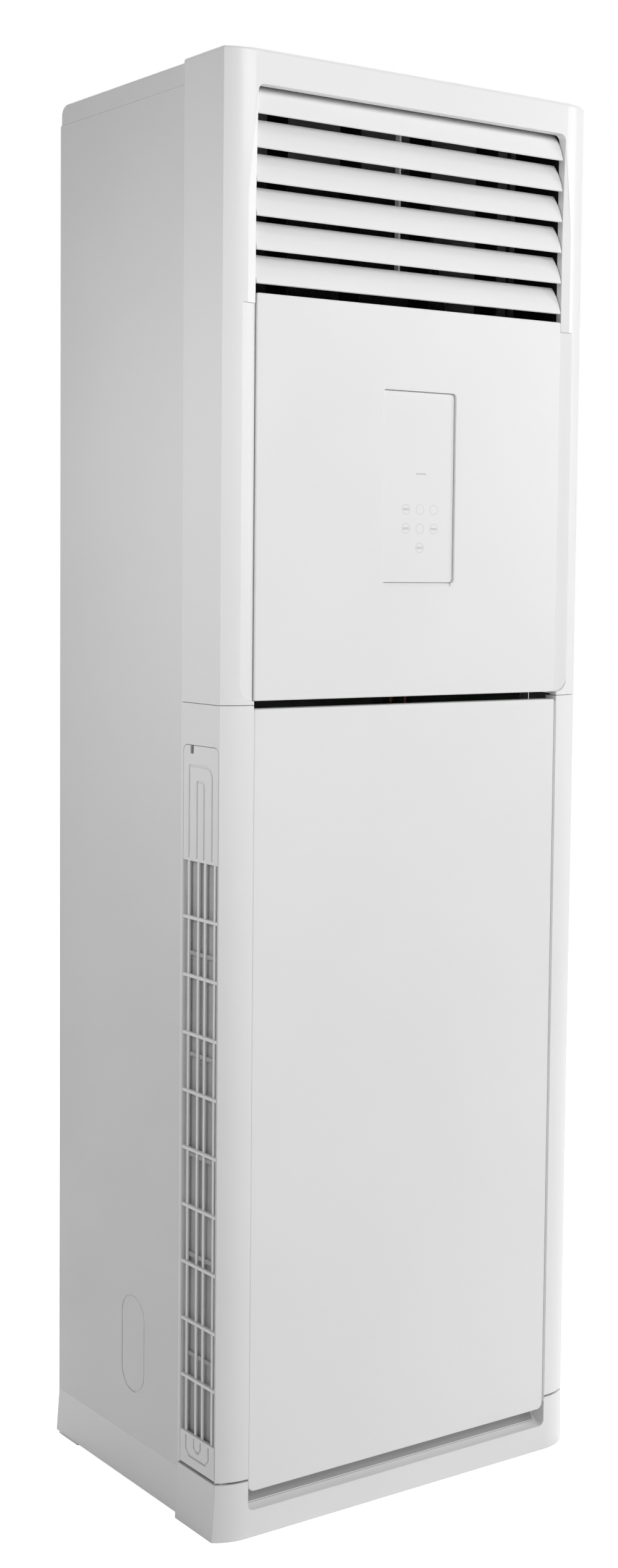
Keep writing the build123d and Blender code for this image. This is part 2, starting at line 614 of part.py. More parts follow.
# ---- side grilles ----
def side_grille(side):
    """Tall insert with cells of upright bars and nested arches above and below."""
    outer = SIDE
    inner = SIDE - GRILLE_THICKNESS
    low = GRILLE_BOTTOM
    high = GRILLE_TOP - GRILLE_GAP
    outline = Pos(GRILLE_Y, (low + high) / 2) * Rectangle(GRILLE_WIDTH - 2 * GRILLE_GAP, high - low)
    outline = fillet(outline.vertices().sort_by(Axis.Y)[-2:], PANEL_CORNER - GRILLE_GAP)
    grille = along_x(outline, inner, outer)
    grille -= box((inner, outer), notch_span(), (high - NOTCH_DEPTH, high))
    for cell in range(CELL_COUNT):
        grille -= grille_cell(CELL_BOTTOM + cell * CELL_PITCH)
    cells_top = CELL_BOTTOM + CELL_COUNT * CELL_PITCH
    for half_width, below_top in ARCHES:
        grille -= arch_groove(half_width, cells_top, high - below_top)
        grille -= foot_groove(half_width, CELL_BOTTOM - CROSS_RIB, low + below_top / 2)
    for y_low, y_high in ear_places():
        inward = 1 if y_low < GRILLE_Y else -1
        start = y_high + FREE if inward > 0 else y_low - FREE
        knuckle = box((GRILLE_AXIS_X - KNUCKLE / 2, inner), sorted((start, start + inward * KNUCKLE)),
                      (GRILLE_AXIS_Z - KNUCKLE / 2, GRILLE_AXIS_Z + KNUCKLE / 2))
        pin_end = y_low if inward > 0 else y_high
        grille += knuckle
        grille += rod_y(GRILLE_PIN, GRILLE_AXIS_X, *sorted((start + inward, pin_end)), GRILLE_AXIS_Z)
    return grille if side > 0 else mirror(grille, about=Plane.YZ)


def notch_span():
    middle = GRILLE_Y + GRILLE_WIDTH / 2 - NOTCH_PLACE
    return (middle - NOTCH_WIDTH / 2, middle + NOTCH_WIDTH / 2)


def grille_cell(bottom):
    """Cutter of one cell: a shallow pocket, and the gaps between the upright bars."""
    top = bottom + CELL_PITCH - CROSS_RIB
    span = (GRILLE_Y - CELL_HALF_WIDTH, GRILLE_Y + CELL_HALF_WIDTH)
    cutter = box((SIDE - BAR_RECESS, SIDE + 1), span, (bottom, top))
    edges = [-CELL_HALF_WIDTH]
    for place in BAR_PLACES:
        edges += [place - BAR_WIDTH / 2, place + BAR_WIDTH / 2]
    edges.append(CELL_HALF_WIDTH)
    for left, right in zip(edges[0::2], edges[1::2]):
        cutter += box((SIDE - GRILLE_THICKNESS - 1, SIDE), (GRILLE_Y + left, GRILLE_Y + right), (bottom, top))
    return cutter


def arch_groove(half_width, z_low, z_high):
    """Cutter of one arch above the cells, its front corner rounder than its rear one."""
    arch = upright_arch(half_width, z_high - z_low)
    inner = upright_arch(half_width - ARCH_GROOVE, z_high - z_low - ARCH_GROOVE)
    groove = Pos(GRILLE_Y, z_low) * (arch - inner)
    return along_x(groove, SIDE - ARCH_GROOVE_DEPTH, SIDE + 1)


def upright_arch(half_width, height):
    """Arch standing on the origin, with its front corner towards -X of the sketch."""
    arch = Rectangle(2 * half_width, height, align=(Align.CENTER, Align.MIN))
    arch = fillet(arch.vertices().sort_by(Axis.Y)[-2:].sort_by(Axis.X)[-1], ARCH_REAR_CORNER)
    return fillet(arch.vertices().sort_by(Axis.X)[:2].sort_by(Axis.Y)[-1], half_width * ARCH_FRONT_SHARE)


def foot_groove(half_width, z_high, z_low):
    """Cutter of one upturned arch below the cells, with cut corners."""
    height = z_high - z_low
    arch = Rectangle(2 * half_width, height, align=(Align.CENTER, Align.MIN))
    arch = chamfer(arch.vertices().sort_by(Axis.Y)[:2], height / 3)
    inner = Rectangle(2 * (half_width - ARCH_GROOVE), height - ARCH_GROOVE, align=(Align.CENTER, Align.MIN))
    inner = chamfer(inner.vertices().sort_by(Axis.Y)[:2], height / 4)
    groove = Pos(GRILLE_Y, z_low) * (arch - Pos(0, ARCH_GROOVE) * inner)
    return along_x(groove, SIDE - ARCH_GROOVE_DEPTH, SIDE + 1)


def side_filter(side):
    """Dust filter on the back of a grille: a frame with thin mesh in its windows."""
    outer = SIDE - GRILLE_THICKNESS
    inner = outer - FILTER_THICKNESS
    low = GRILLE_AXIS_Z + 8
    high = CELL_BOTTOM + CELL_COUNT * CELL_PITCH + 10
    half = CELL_HALF_WIDTH + 1
    frame = box((inner, outer), (GRILLE_Y - half, GRILLE_Y + half), (low, high))
    pitch = (high - low - FILTER_FRAME) / FILTER_WINDOWS
    for window in range(FILTER_WINDOWS):
        bottom = low + FILTER_FRAME + window * pitch
        window_half = half - FILTER_FRAME
        frame -= box((inner + FILTER_MESH, outer), (GRILLE_Y - window_half, GRILLE_Y + window_half),
                     (bottom, bottom + pitch - FILTER_FRAME))
    return frame if side > 0 else mirror(frame, about=Plane.YZ)


# ---- steel cabinet ----
def rear_base():
    """Skirt and deck under the steel cabinet, flared towards the floor, on two rear feet."""
    deck = (SEAM_Y, REAR)
    skirt = flared_sides(STEEL_SIDE, REAR_LIFT, REAR_BASE_HEIGHT, deck)
    rear = polygon((SEAM_Y, REAR_LIFT), (REAR, REAR_LIFT), (STEEL_REAR, FLARE_TOP),
                   (STEEL_REAR, REAR_BASE_HEIGHT), (SEAM_Y, REAR_BASE_HEIGHT))
    skirt &= along_x(rear, -SIDE, SIDE)
    inner = STEEL_SIDE - PLASTIC
    skirt -= box((-inner, inner), (SEAM_Y + PLASTIC, STEEL_REAR - PLASTIC),
                 (REAR_LIFT - 1, REAR_BASE_HEIGHT - PLASTIC))
    foot = box((STEEL_SIDE - REAR_FOOT, STEEL_SIDE), (STEEL_REAR - REAR_FOOT, STEEL_REAR),
               (0, REAR_LIFT + PLASTIC))
    return skirt + both_sides(foot)


def side_panel(side):
    """Folded steel side with the hole of the pipe knock-out."""
    bottom = REAR_BASE_HEIGHT
    panel = box((INNER_SIDE, STEEL_SIDE), (SEAM_Y, STEEL_REAR), (bottom, CAP_BOTTOM))
    flange_x = (STEEL_SIDE - FLANGE, STEEL_SIDE)
    panel += box(flange_x, (SEAM_Y, SEAM_Y + SHEET), (bottom, CAP_BOTTOM))
    panel += box(flange_x, (INNER_REAR - SHEET, INNER_REAR), (bottom, CAP_BOTTOM))
    panel += box(flange_x, (SEAM_Y, INNER_REAR), (bottom, bottom + SHEET))
    panel += box(flange_x, (SEAM_Y, INNER_REAR), (CAP_BOTTOM - SHEET, CAP_BOTTOM))
    panel -= along_x(pipe_outline(COVER_GAP), INNER_SIDE - 1, STEEL_SIDE + 1)
    panel -= box((STEEL_SIDE - CAP_SEAM, STEEL_SIDE + 1), (SEAM_Y - 1, STEEL_REAR + 1),
                 (CAP_BOTTOM - CAP_SEAM, CAP_BOTTOM + 1))
    return panel if side > 0 else mirror(panel, about=Plane.YZ)


def pipe_outline(gap):
    """Stadium of the side knock-outs in (Y, Z)."""
    outline = SlotOverall(COVER_LENGTH + 2 * gap, COVER_WIDTH + 2 * gap, rotation=90)
    return Pos(COVER_BACK, COVER_HEIGHT) * outline


def side_pipe_covers():
    """Knock-out plates of both sides, pressed out to just under the face of the panel."""
    backing = Pos(COVER_BACK, COVER_HEIGHT) * cover_backing()
    plate = along_x(backing, INNER_SIDE - SHEET, INNER_SIDE)
    plate += along_x(pipe_outline(0), INNER_SIDE, STEEL_SIDE - COVER_SETBACK)
    return plate + mirror(plate, about=Plane.YZ)


def cover_backing():
    """Plain plate behind a knock-out, wider than its hole all round."""
    return Rectangle(COVER_WIDTH + 2 * COVER_LAP, COVER_LENGTH + 2 * COVER_LAP)


def rear_outline(gap):
    """Stadium of the rear knock-out in (X, Z)."""
    outline = SlotOverall(COVER_LENGTH + 2 * gap, COVER_WIDTH + 2 * gap, rotation=90)
    return Pos(-GLAND_PLACE[0], COVER_HEIGHT) * outline


def rear_panel():
    """Steel back with the pipe knock-out and the hole of the cable gland."""
    panel = box((-INNER_SIDE, INNER_SIDE), (INNER_REAR, STEEL_REAR), (REAR_BASE_HEIGHT, CAP_BOTTOM))
    panel -= along_y(rear_outline(COVER_GAP), INNER_REAR - 1, STEEL_REAR + 1)
    gland_x, gland_z = GLAND_PLACE
    return panel - rod_y(GLAND_BODY, gland_x, INNER_REAR - 1, STEEL_REAR + 1, gland_z)


def rear_pipe_cover():
    """Knock-out plate of the back."""
    backing = Pos(-GLAND_PLACE[0], COVER_HEIGHT) * cover_backing()
    plate = along_y(backing, INNER_REAR - SHEET, INNER_REAR)
    return plate + along_y(rear_outline(0), INNER_REAR, STEEL_REAR - COVER_SETBACK)


def top_cover():
    """Steel cap with a skirt, its rear edge well rounded."""
    cap = box((-STEEL_SIDE, STEEL_SIDE), (SEAM_Y, STEEL_REAR), (CAP_BOTTOM, STEEL_TOP))
    cap = fillet(cap.edges().filter_by(Axis.X).group_by(Axis.Z)[-1].sort_by(Axis.Y)[-1], CAP_REAR_ROUND)
    cap = fillet(cap.edges().filter_by(Axis.Y).group_by(Axis.Z)[-1], CAP_SIDE_ROUND)
    inside = box((-INNER_SIDE, INNER_SIDE), (SEAM_Y - 1, INNER_REAR), (CAP_BOTTOM - 1, STEEL_TOP - SHEET))
    rear_edge = inside.edges().filter_by(Axis.X).group_by(Axis.Z)[-1].sort_by(Axis.Y)[-1]
    inside = chamfer(rear_edge, CAP_REAR_ROUND - SHEET)
    return cap - chamfer(inside.edges().filter_by(Axis.Y).group_by(Axis.Z)[-1], CAP_SIDE_ROUND - SHEET)


def wall_bracket():
    """Steel plate on the back for fixing the cabinet to a wall."""
    middle = CAP_BOTTOM - BRACKET_DROP - BRACKET_HEIGHT / 2
    plate = Rectangle(BRACKET_WIDTH, BRACKET_HEIGHT)
    plate = chamfer(plate.vertices(), BRACKET_CORNER)
    for x in (-1, 1):
        plate -= Pos(x * BRACKET_HOLE_SPACING / 2, 0) * Circle(BRACKET_HOLE)
    return along_y(Pos(0, middle) * plate, STEEL_REAR, REAR)


def cable_gland():
    """Collar through the back that a supply cord would pass through."""
    x, z = GLAND_PLACE
    gland = rod_y(GLAND_BODY - RUNNING, x, INNER_REAR - GLAND_NUT, STEEL_REAR + GLAND_RIM, z)
    gland += rod_y(GLAND_FLANGE, x, STEEL_REAR, STEEL_REAR + GLAND_RIM, z)
    nut = RegularPolygon(GLAND_FLANGE, 6)
    gland += along_y(Pos(x, z) * nut, INNER_REAR - GLAND_NUT, INNER_REAR)
    return gland - rod_y(GLAND_BORE, x, INNER_REAR - GLAND_NUT - 1, REAR, z)


def casing_screws():
    """Hexagon heads of the screws along both edges of the back."""
    edge = INNER_SIDE - SCREW_IN
    lowest = REAR_BASE_HEIGHT + SCREW_MARGIN
    pitch = (CAP_BOTTOM - SCREW_MARGIN - lowest) / (SCREW_ROWS - 1)
    heads = Sketch()
    for row in range(SCREW_ROWS):
        for x in (-edge, edge):
            heads += Pos(x, lowest + row * pitch) * RegularPolygon(SCREW_HEAD, 6)
    return along_y(heads, STEEL_REAR, STEEL_REAR + SCREW_HEIGHT)


# ---- outlet ----
def outlet_duct():
    """Square tube behind the frame that holds the louver pins and the vane pins."""
    outside = box((-DUCT_SIDE, DUCT_SIDE), (BEZEL_BACK, SEAM_Y), (DUCT_BOTTOM - PLASTIC, DUCT_TOP + PLASTIC))
    duct = outside - box((-OPENING, OPENING), (BEZEL_BACK - 1, SEAM_Y + 1), (DUCT_BOTTOM, DUCT_TOP))
    rim_back = PANEL_FACE + PANEL_RIM + FREE
    duct -= box((-OPENING, OPENING), (BEZEL_BACK - 1, rim_back), (DUCT_BOTTOM - PLASTIC - 1, DUCT_BOTTOM + 1))
    for index in range(LOUVER_COUNT):
        duct -= rod_x(LOUVER_PIN + RUNNING, -DUCT_SIDE - 1, DUCT_SIDE + 1, LOUVER_Y, louver_pivot(index))
    height = (DUCT_BOTTOM - PLASTIC - 1, DUCT_TOP + PLASTIC + 1)
    for index in range(VANE_COUNT):
        duct -= rod_z(VANE_PIN + RUNNING, vane_place(index), VANE_Y, *height)
    stay_y = VANE_Y - VANE_AHEAD - 6
    duct += box((STAY_PLACE - 1.5, STAY_PLACE + 1.5), (stay_y, stay_y + 4), (DUCT_BOTTOM, DUCT_TOP))
    return duct


def louver(index):
    """Curved full width blade with a pin at each end and a lug for the link."""
    foot = (-LOUVER_AHEAD, -LOUVER_DROP)
    head = (LOUVER_BEHIND, LOUVER_RISE)
    front_face = SagittaArc(foot, head, LOUVER_BOW)
    shift = (LOUVER_THICKNESS * 0.9, -LOUVER_THICKNESS * 0.45)
    back_foot = (foot[0] + shift[0], foot[1] + shift[1])
    back_head = (head[0] + shift[0], head[1] + shift[1])
    back_face = SagittaArc(back_foot, back_head, LOUVER_BOW)
    section = make_face([front_face, Line(head, back_head), back_face, Line(back_foot, foot)])
    half = OPENING - LOUVER_END_GAP
    blade = along_x(section, -half, half)
    low, middle, high = [on_blade(front_face, back_face, share) for share in (0.27, 0.55, 0.85)]
    web = polygon(low, (4, -4), (4, 4), high, middle)
    end = along_x(web, half - LUG_THICKNESS, half)
    end += along_x(Circle(LOUVER_PIN), half - 1, DUCT_SIDE - FREE)
    blade += both_sides(end)
    crank_low = (CRANK[0] + 3, CRANK[1] - 3.5)
    crank_high = (CRANK[0] + 3, CRANK[1] + 3.5)
    lug = polygon(low, crank_low, crank_high, high, middle)
    lug_low = -LINK_THICKNESS / 2 - FREE - LUG_THICKNESS
    blade += along_x(lug, lug_low, lug_low + LUG_THICKNESS)
    blade += rod_x(CRANK_PIN, lug_low + 1, LINK_THICKNESS / 2 + 1, *CRANK)
    return Pos(0, LOUVER_Y, louver_pivot(index)) * blade


def on_blade(front_face, back_face, share):
    """Place in the thickness of a louver, at a share of its height from the foot."""
    middle = (front_face @ share + back_face @ share) / 2
    return (middle.X, middle.Y)


def louver_link():
    """Upright bar that joins the lugs of all louvers."""
    y = LOUVER_Y + CRANK[0]
    top = louver_pivot(0) + CRANK[1]
    bottom = louver_pivot(LOUVER_COUNT - 1) + CRANK[1]
    outline = Pos(y, (top + bottom) / 2) * RectangleRounded(LINK_WIDTH, top - bottom + 10, 2)
    for index in range(LOUVER_COUNT):
        outline -= Pos(y, louver_pivot(index) + CRANK[1]) * Circle(CRANK_PIN + RUNNING)
    return along_x(outline, -LINK_THICKNESS / 2, LINK_THICKNESS / 2)


def step_motor():
    """Small step motor with two ears, standing on the plane Z = 0, and its plug."""
    ears = box((-1.5 * STEP_MOTOR, 1.5 * STEP_MOTOR), (-EAR_WIDTH / 2, EAR_WIDTH / 2), (0, EAR_THICKNESS))
    plug = box((-STEP_MOTOR / 2, STEP_MOTOR / 2), (0, STEP_MOTOR + PLUG), (EAR_THICKNESS, STEP_MOTOR))
    return extrude(Circle(STEP_MOTOR), amount=STEP_MOTOR_LENGTH) + ears + plug


def louver_motor():
    """Step motor on the left cheek of the duct, at the pivot of the middle louver."""
    place = Location((-DUCT_SIDE, LOUVER_Y + MOTOR_OFFSET, louver_pivot(LOUVER_COUNT // 2)), (0, -90, 0))
    return place * step_motor()


def vane(index):
    """Upright vane with a pin at each end and a notch with a pin for the link."""
    low = DUCT_BOTTOM + FREE
    high = DUCT_TOP - FREE
    half = VANE_THICKNESS / 2
    blade = box((-half, half), (-VANE_AHEAD, VANE_BEHIND), (low, high))
    blade = chamfer(blade.edges().filter_by(Axis.X).group_by(Axis.Y)[0], 4)
    notch_front = VANE_LINK_OFFSET - VANE_NOTCH_DEPTH
    notch = (VANE_MIDDLE - VANE_NOTCH_HEIGHT / 2, VANE_MIDDLE + VANE_NOTCH_HEIGHT / 2)
    blade -= box((-5, 5), (notch_front, VANE_BEHIND + 1), notch)
    blade += rod_z(CRANK_PIN, 0, VANE_LINK_OFFSET, *notch)
    blade += rod_z(VANE_PIN, 0, 0, DUCT_BOTTOM - PLASTIC + FREE, low)
    blade += rod_z(VANE_PIN, 0, 0, high, DUCT_TOP + PLASTIC - FREE)
    return Pos(vane_place(index), VANE_Y, 0) * blade


def vane_link():
    """Lying bar that joins the notches of all vanes."""
    reach = vane_place(VANE_COUNT - 1) + 5
    outline = Pos(0, VANE_Y + VANE_LINK_OFFSET) * RectangleRounded(2 * reach, LINK_WIDTH, 2)
    for index in range(VANE_COUNT):
        outline -= Pos(vane_place(index), VANE_Y + VANE_LINK_OFFSET) * Circle(CRANK_PIN + RUNNING)
    return along_z(outline, VANE_MIDDLE - LINK_THICKNESS / 2, VANE_MIDDLE + LINK_THICKNESS / 2)


def vane_motor():
    """Step motor on top of the duct, over the second vane."""
    return Pos(vane_place(1), VANE_Y + MOTOR_OFFSET, DUCT_TOP + PLASTIC) * step_motor()


# ---- fan ----
def fan_partition():
    """Steel wall between the filter space and the fan, with the hole of the inlet ring."""
    depth = (SCROLL_FRONT - SHEET, SCROLL_FRONT)
    wall = box((-INNER_SIDE, INNER_SIDE), depth, (REAR_BASE_HEIGHT + SHEET, SHELF_LEVEL))
    return wall - rod_y(INLET_HOLE, 0, SCROLL_FRONT - 2, SCROLL_FRONT + 1, FAN_LEVEL)


def mid_shelf():
    """Steel floor between the fan and the coil, with the outlet of the scroll and pipe holes."""
    level = (SHELF_LEVEL, SHELF_LEVEL + SHEET)
    cut = (SHELF_LEVEL - 1, SHELF_LEVEL + SHEET + 1)
    floor = box((-INNER_SIDE, INNER_SIDE), (SCROLL_FRONT - SHEET, INNER_REAR - SHEET), level)
    floor -= box((-SCROLL_STEP / 2 + SCROLL_WALL, SCROLL_REACH - SCROLL_WALL),
                 (SCROLL_FRONT + SCROLL_WALL, SCROLL_BACK - SCROLL_WALL), cut)
    hose_room = HOSE_RADIUS + 1
    floor -= box((HOSE_DROP[0] - hose_room, HOSE_DROP[0] + hose_room),
                 (HOSE_DROP[1] - hose_room, HOSE_DROP[1] + hose_room), cut)
    pipe_room = GAS_PIPE + 1
    floor -= box((GAS_DROP[0] - pipe_room, GAS_DROP[0] + pipe_room),
                 (LIQUID_DROP[1] - pipe_room, GAS_DROP[1] + pipe_room), cut)
    return floor


def scroll_outline():
    """Spiral of three quarter turns round the fan, and its outlet upwards, in (X, Z)."""
    half = SCROLL_STEP / 2
    outlet_top = SHELF_LEVEL - FAN_LEVEL
    radii = [SCROLL_START + turn * SCROLL_STEP for turn in range(3)]
    start = (-half, -half + radii[0])
    end = (half + radii[2], half)
    spiral = [
        CenterArc((-half, -half), radii[0], 90, 90),
        CenterArc((half, -half), radii[1], 180, 90),
        CenterArc((half, half), radii[2], 270, 90),
    ]
    walls = [Line(end, (end[0], outlet_top)), Line((end[0], outlet_top), (start[0], outlet_top)),
             Line((start[0], outlet_top), start)]
    outline = make_face(spiral + walls)
    tongue = outline.vertices().sort_by(lambda v: abs(v.X - start[0]) + abs(v.Y - start[1]))[0]
    return fillet(tongue, TONGUE_ROUND)


def scroll_half(y_low, y_high, plate_low, plate_high):
    """Open half of the scroll between two depths, with its plate between two others."""
    outline = scroll_outline()
    inside = offset(outline, -SCROLL_WALL)
    outlet_top = SHELF_LEVEL - FAN_LEVEL
    left = -SCROLL_STEP / 2
    mouth = Rectangle(SCROLL_REACH - left - 2 * SCROLL_WALL, 4 * SCROLL_WALL)
    mouth = Pos((SCROLL_REACH + left) / 2, outlet_top) * mouth
    wall = along_y(outline - inside - mouth, y_low, y_high)
    return Pos(0, 0, FAN_LEVEL) * (wall + along_y(outline, plate_low, plate_high))


def scroll_front():
    middle = (SCROLL_FRONT + SCROLL_BACK) / 2
    half = scroll_half(SCROLL_FRONT, middle, SCROLL_FRONT, SCROLL_FRONT + SCROLL_WALL)
    return half - rod_y(INLET_HOLE, 0, SCROLL_FRONT - 1, SCROLL_FRONT + SCROLL_WALL + 1, FAN_LEVEL)


def scroll_back():
    middle = (SCROLL_FRONT + SCROLL_BACK) / 2
    half = scroll_half(middle, SCROLL_BACK, SCROLL_BACK - SCROLL_WALL, SCROLL_BACK)
    return half - rod_y(HUB_RADIUS + 8, 0, SCROLL_BACK - 3, SCROLL_BACK + 1, FAN_LEVEL)


def inlet_ring():
    """Bell mouth that leads the air into the eye of the wheel."""
    face = SCROLL_FRONT - SHEET - SCROLL_WALL
    mouth = INLET_THROAT + INLET_ROUND
    flange = mouth + INLET_FLANGE
    lip = face + INLET_ROUND
    step = INLET_ROUND * (1 - math.cos(math.radians(45)))
    section = polygon(
        (INLET_THROAT, lip), (INLET_THROAT + step, face + step), (mouth, face), (flange, face),
        (flange, face + SCROLL_WALL), (mouth, face + SCROLL_WALL),
        (INLET_THROAT + step + SCROLL_WALL, face + step + SCROLL_WALL), (INLET_THROAT + SCROLL_WALL, lip))
    return Pos(0, 0, FAN_LEVEL) * revolve(section, Axis.Y)


def fan_wheel():
    """Forward curved centrifugal wheel: blades between a front ring and a back plate with its hub."""
    plate = Circle(WHEEL_RADIUS) - Circle(SHAFT_RADIUS + RUNNING / 2)
    wheel = along_y(plate, WHEEL_BACK - WHEEL_PLATE, WHEEL_BACK)
    hub = Circle(HUB_RADIUS) - Circle(SHAFT_RADIUS + RUNNING / 2)
    wheel += along_y(hub, WHEEL_BACK - 18, WHEEL_BACK + 4)
    ring = Circle(WHEEL_RADIUS + 2) - Circle(WHEEL_RADIUS - 8)
    wheel += along_y(ring, WHEEL_FRONT, WHEEL_FRONT + 4)
    blades = PolarLocations(0, BLADE_COUNT) * blade_section()
    wheel += along_y(Sketch() + blades, WHEEL_FRONT + 2, WHEEL_BACK - 1)
    return Pos(0, 0, FAN_LEVEL) * wheel


def blade_section():
    """One bent blade in (X, Z) round the wheel's centre."""
    middle = (BLADE_INNER + WHEEL_RADIUS) / 2
    bends = ((BLADE_INNER, 0), (middle, BLADE_SWEEP / 4), (WHEEL_RADIUS, BLADE_SWEEP))
    front = [at_angle(radius, degrees) for radius, degrees in bends]
    back = [at_angle(radius, degrees + BLADE_THICKNESS_DEGREES) for radius, degrees in reversed(bends)]
    return polygon(*front, *back)


def at_angle(radius, degrees):
    angle = math.radians(degrees)
    return (radius * math.cos(angle), radius * math.sin(angle))


def fan_shaft():
    return rod_y(SHAFT_RADIUS, 0, WHEEL_BACK - 22, MOTOR_FRONT + 20, FAN_LEVEL)


def motor_bracket():
    """Steel cross between the scroll and the motor."""
    plate = Rectangle(BRACKET_SPAN, BRACKET_ARM) + Rectangle(BRACKET_ARM, BRACKET_SPAN)
    plate -= Circle(SHAFT_RADIUS + BRACKET_ROOM)
    return Pos(0, 0, FAN_LEVEL) * along_y(plate, SCROLL_BACK, MOTOR_FRONT)


def fan_motor():
    """Motor with an eased end bell and the bearing bore of the shaft."""
    motor = rod_y(MOTOR_RADIUS, 0, MOTOR_FRONT, MOTOR_FRONT + MOTOR_LENGTH, 0)
    motor = chamfer(motor.edges().sort_by(Axis.Y)[-1], MOTOR_EASE)
    motor -= rod_y(SHAFT_RADIUS + RUNNING / 2, 0, MOTOR_FRONT - 1, MOTOR_FRONT + BEARING_DEPTH, 0)
    return Pos(0, 0, FAN_LEVEL) * motor


# ---- coil, drain and pipes ----
def place_coil(shape):
    """Tilts a shape of the coil so that its top leans to the back."""
    return Pos(0, COIL_Y, COIL_Z) * Rot(-COIL_LEAN, 0, 0) * shape


def coil_fins():
    """Block of fins between the end plates."""
    return place_coil(Box(2 * COIL_SIDE, COIL_THICKNESS, COIL_LENGTH))


def coil_end_plates():
    """Steel plates on both ends of the fins, standing on the tray."""
    along = (-COIL_LENGTH / 2, COIL_LENGTH / 2)
    back = COIL_THICKNESS / 2
    plate = box((COIL_SIDE, COIL_SIDE + SHEET), (-back, back), along)
    plate += box((COIL_SIDE, COIL_SIDE + FLANGE), (back, back + SHEET), along)
    plate = place_coil(plate)
    foot_y = COIL_Y - COIL_RUN / 2
    plate += box((COIL_SIDE, COIL_SIDE + SHEET), (foot_y - FOOT_WIDTH / 2, foot_y + FOOT_WIDTH / 2),
                 (TRAY_FLOOR, TRAY_FLOOR + FOOT_WIDTH))
    return both_sides(plate)


def coil_tubes():
    """Flattened return bends on the right end of the coil."""
    bend = Circle(BEND_RADIUS + TUBE_RADIUS) - Circle(BEND_RADIUS - TUBE_RADIUS)
    bend &= Rectangle(WIDTH, WIDTH, align=(Align.MIN, Align.CENTER))
    pitch = COIL_LENGTH / BEND_COUNT
    bends = Sketch()
    for index in range(BEND_COUNT):
        bends += Pos(COIL_SIDE + SHEET, (index - (BEND_COUNT - 1) / 2) * pitch) * bend
    return place_coil(along_y(bends, -TUBE_RADIUS, TUBE_RADIUS))


def drain_pan():
    """Tray under the coil with the spout of the drain hose."""
    half = INNER_SIDE - TRAY_END_ROOM
    back = TRAY_FRONT + TRAY_DEPTH
    tray = box((-half, half), (TRAY_FRONT, back), (TRAY_LEVEL, TRAY_LEVEL + TRAY_HEIGHT))
    tray -= box((-half + PLASTIC, half - PLASTIC), (TRAY_FRONT + PLASTIC, back - PLASTIC),
                (TRAY_FLOOR, TRAY_LEVEL + TRAY_HEIGHT + 1))
    tray += rod_z(SPOUT_RADIUS, *HOSE_DROP, TRAY_LEVEL - SPOUT_LENGTH, TRAY_LEVEL)
    return tray - rod_z(SPOUT_BORE, *HOSE_DROP, TRAY_LEVEL - SPOUT_LENGTH - 1, TRAY_FLOOR + 1)


def pan_rails():
    """Angles on both sides that carry the tray."""
    along = (SEAM_Y + SHEET, TRAY_FRONT + TRAY_DEPTH)
    rail = box((INNER_SIDE - SHEET, INNER_SIDE), along, (TRAY_LEVEL - RAIL_DROP, TRAY_LEVEL))
    rail += box((INNER_SIDE - RAIL_WIDTH, INNER_SIDE), along, (TRAY_LEVEL - SHEET, TRAY_LEVEL))
    return both_sides(rail)


def drain_hose():
    """Hose over the spout, straight down beside the scroll."""
    top = TRAY_LEVEL - SPOUT_LENGTH / 4
    hose = rod_z(HOSE_RADIUS, *HOSE_DROP, COVER_HEIGHT, top)
    return hose - rod_z(SPOUT_RADIUS + RUNNING / 2, *HOSE_DROP, TRAY_LEVEL - SPOUT_LENGTH - FREE, top + 1)


def refrigerant_pipes():
    """Gas and liquid pipes from the right end plate of the coil down to the flare nuts."""
    coil = place_coil(box((0, WIDTH), (-DEPTH, COIL_THICKNESS / 2 + SHEET), (-HEIGHT, HEIGHT)))
    pipes = []
    for radius, (x, y), level in ((GAS_PIPE, GAS_DROP, GAS_LEVEL), (LIQUID_PIPE, LIQUID_DROP, LIQUID_LEVEL)):
        path = Polyline((x, SEAM_Y, level), (x, y, level), (x, y, COVER_HEIGHT + NUT_HEIGHT))
        section = Plane(path @ 0, z_dir=path % 0) * Circle(radius)
        pipes.append(sweep(section, path=path, transition=Transition.RIGHT) - coil)
    return Part() + pipes


def flare_nuts():
    """Hexagon nuts on the lower ends of both pipes."""
    nuts = Pos(*GAS_DROP) * RegularPolygon(GAS_PIPE + NUT_MARGIN, 6)
    nuts += Pos(*LIQUID_DROP) * RegularPolygon(LIQUID_PIPE + NUT_MARGIN, 6)
    return along_z(nuts, COVER_HEIGHT, COVER_HEIGHT + NUT_HEIGHT)


# ---- electric parts ----
def front_baffle():
    """Steel wall behind the upper panel, in front of the coil, that carries the control box."""
    half = STEEL_SIDE - FLANGE - FREE
    return box((-half, half), (SEAM_Y, SEAM_Y + SHEET), (COLUMN_TOP, DUCT_BOTTOM - PLASTIC))


def control_box():
    """Open steel tray on the baffle."""
    x = (BOX_LEFT, BOX_LEFT + BOX_WIDTH)
    z = (BOX_FOOT, BOX_FOOT + BOX_HEIGHT)
    tray = box(x, (SEAM_Y - BOX_DEPTH, SEAM_Y), z)
    inside = box((x[0] + SHEET, x[1] - SHEET), (SEAM_Y - BOX_DEPTH - 1, SEAM_Y - SHEET),
                 (z[0] + SHEET, z[1] - SHEET))
    return tray - inside


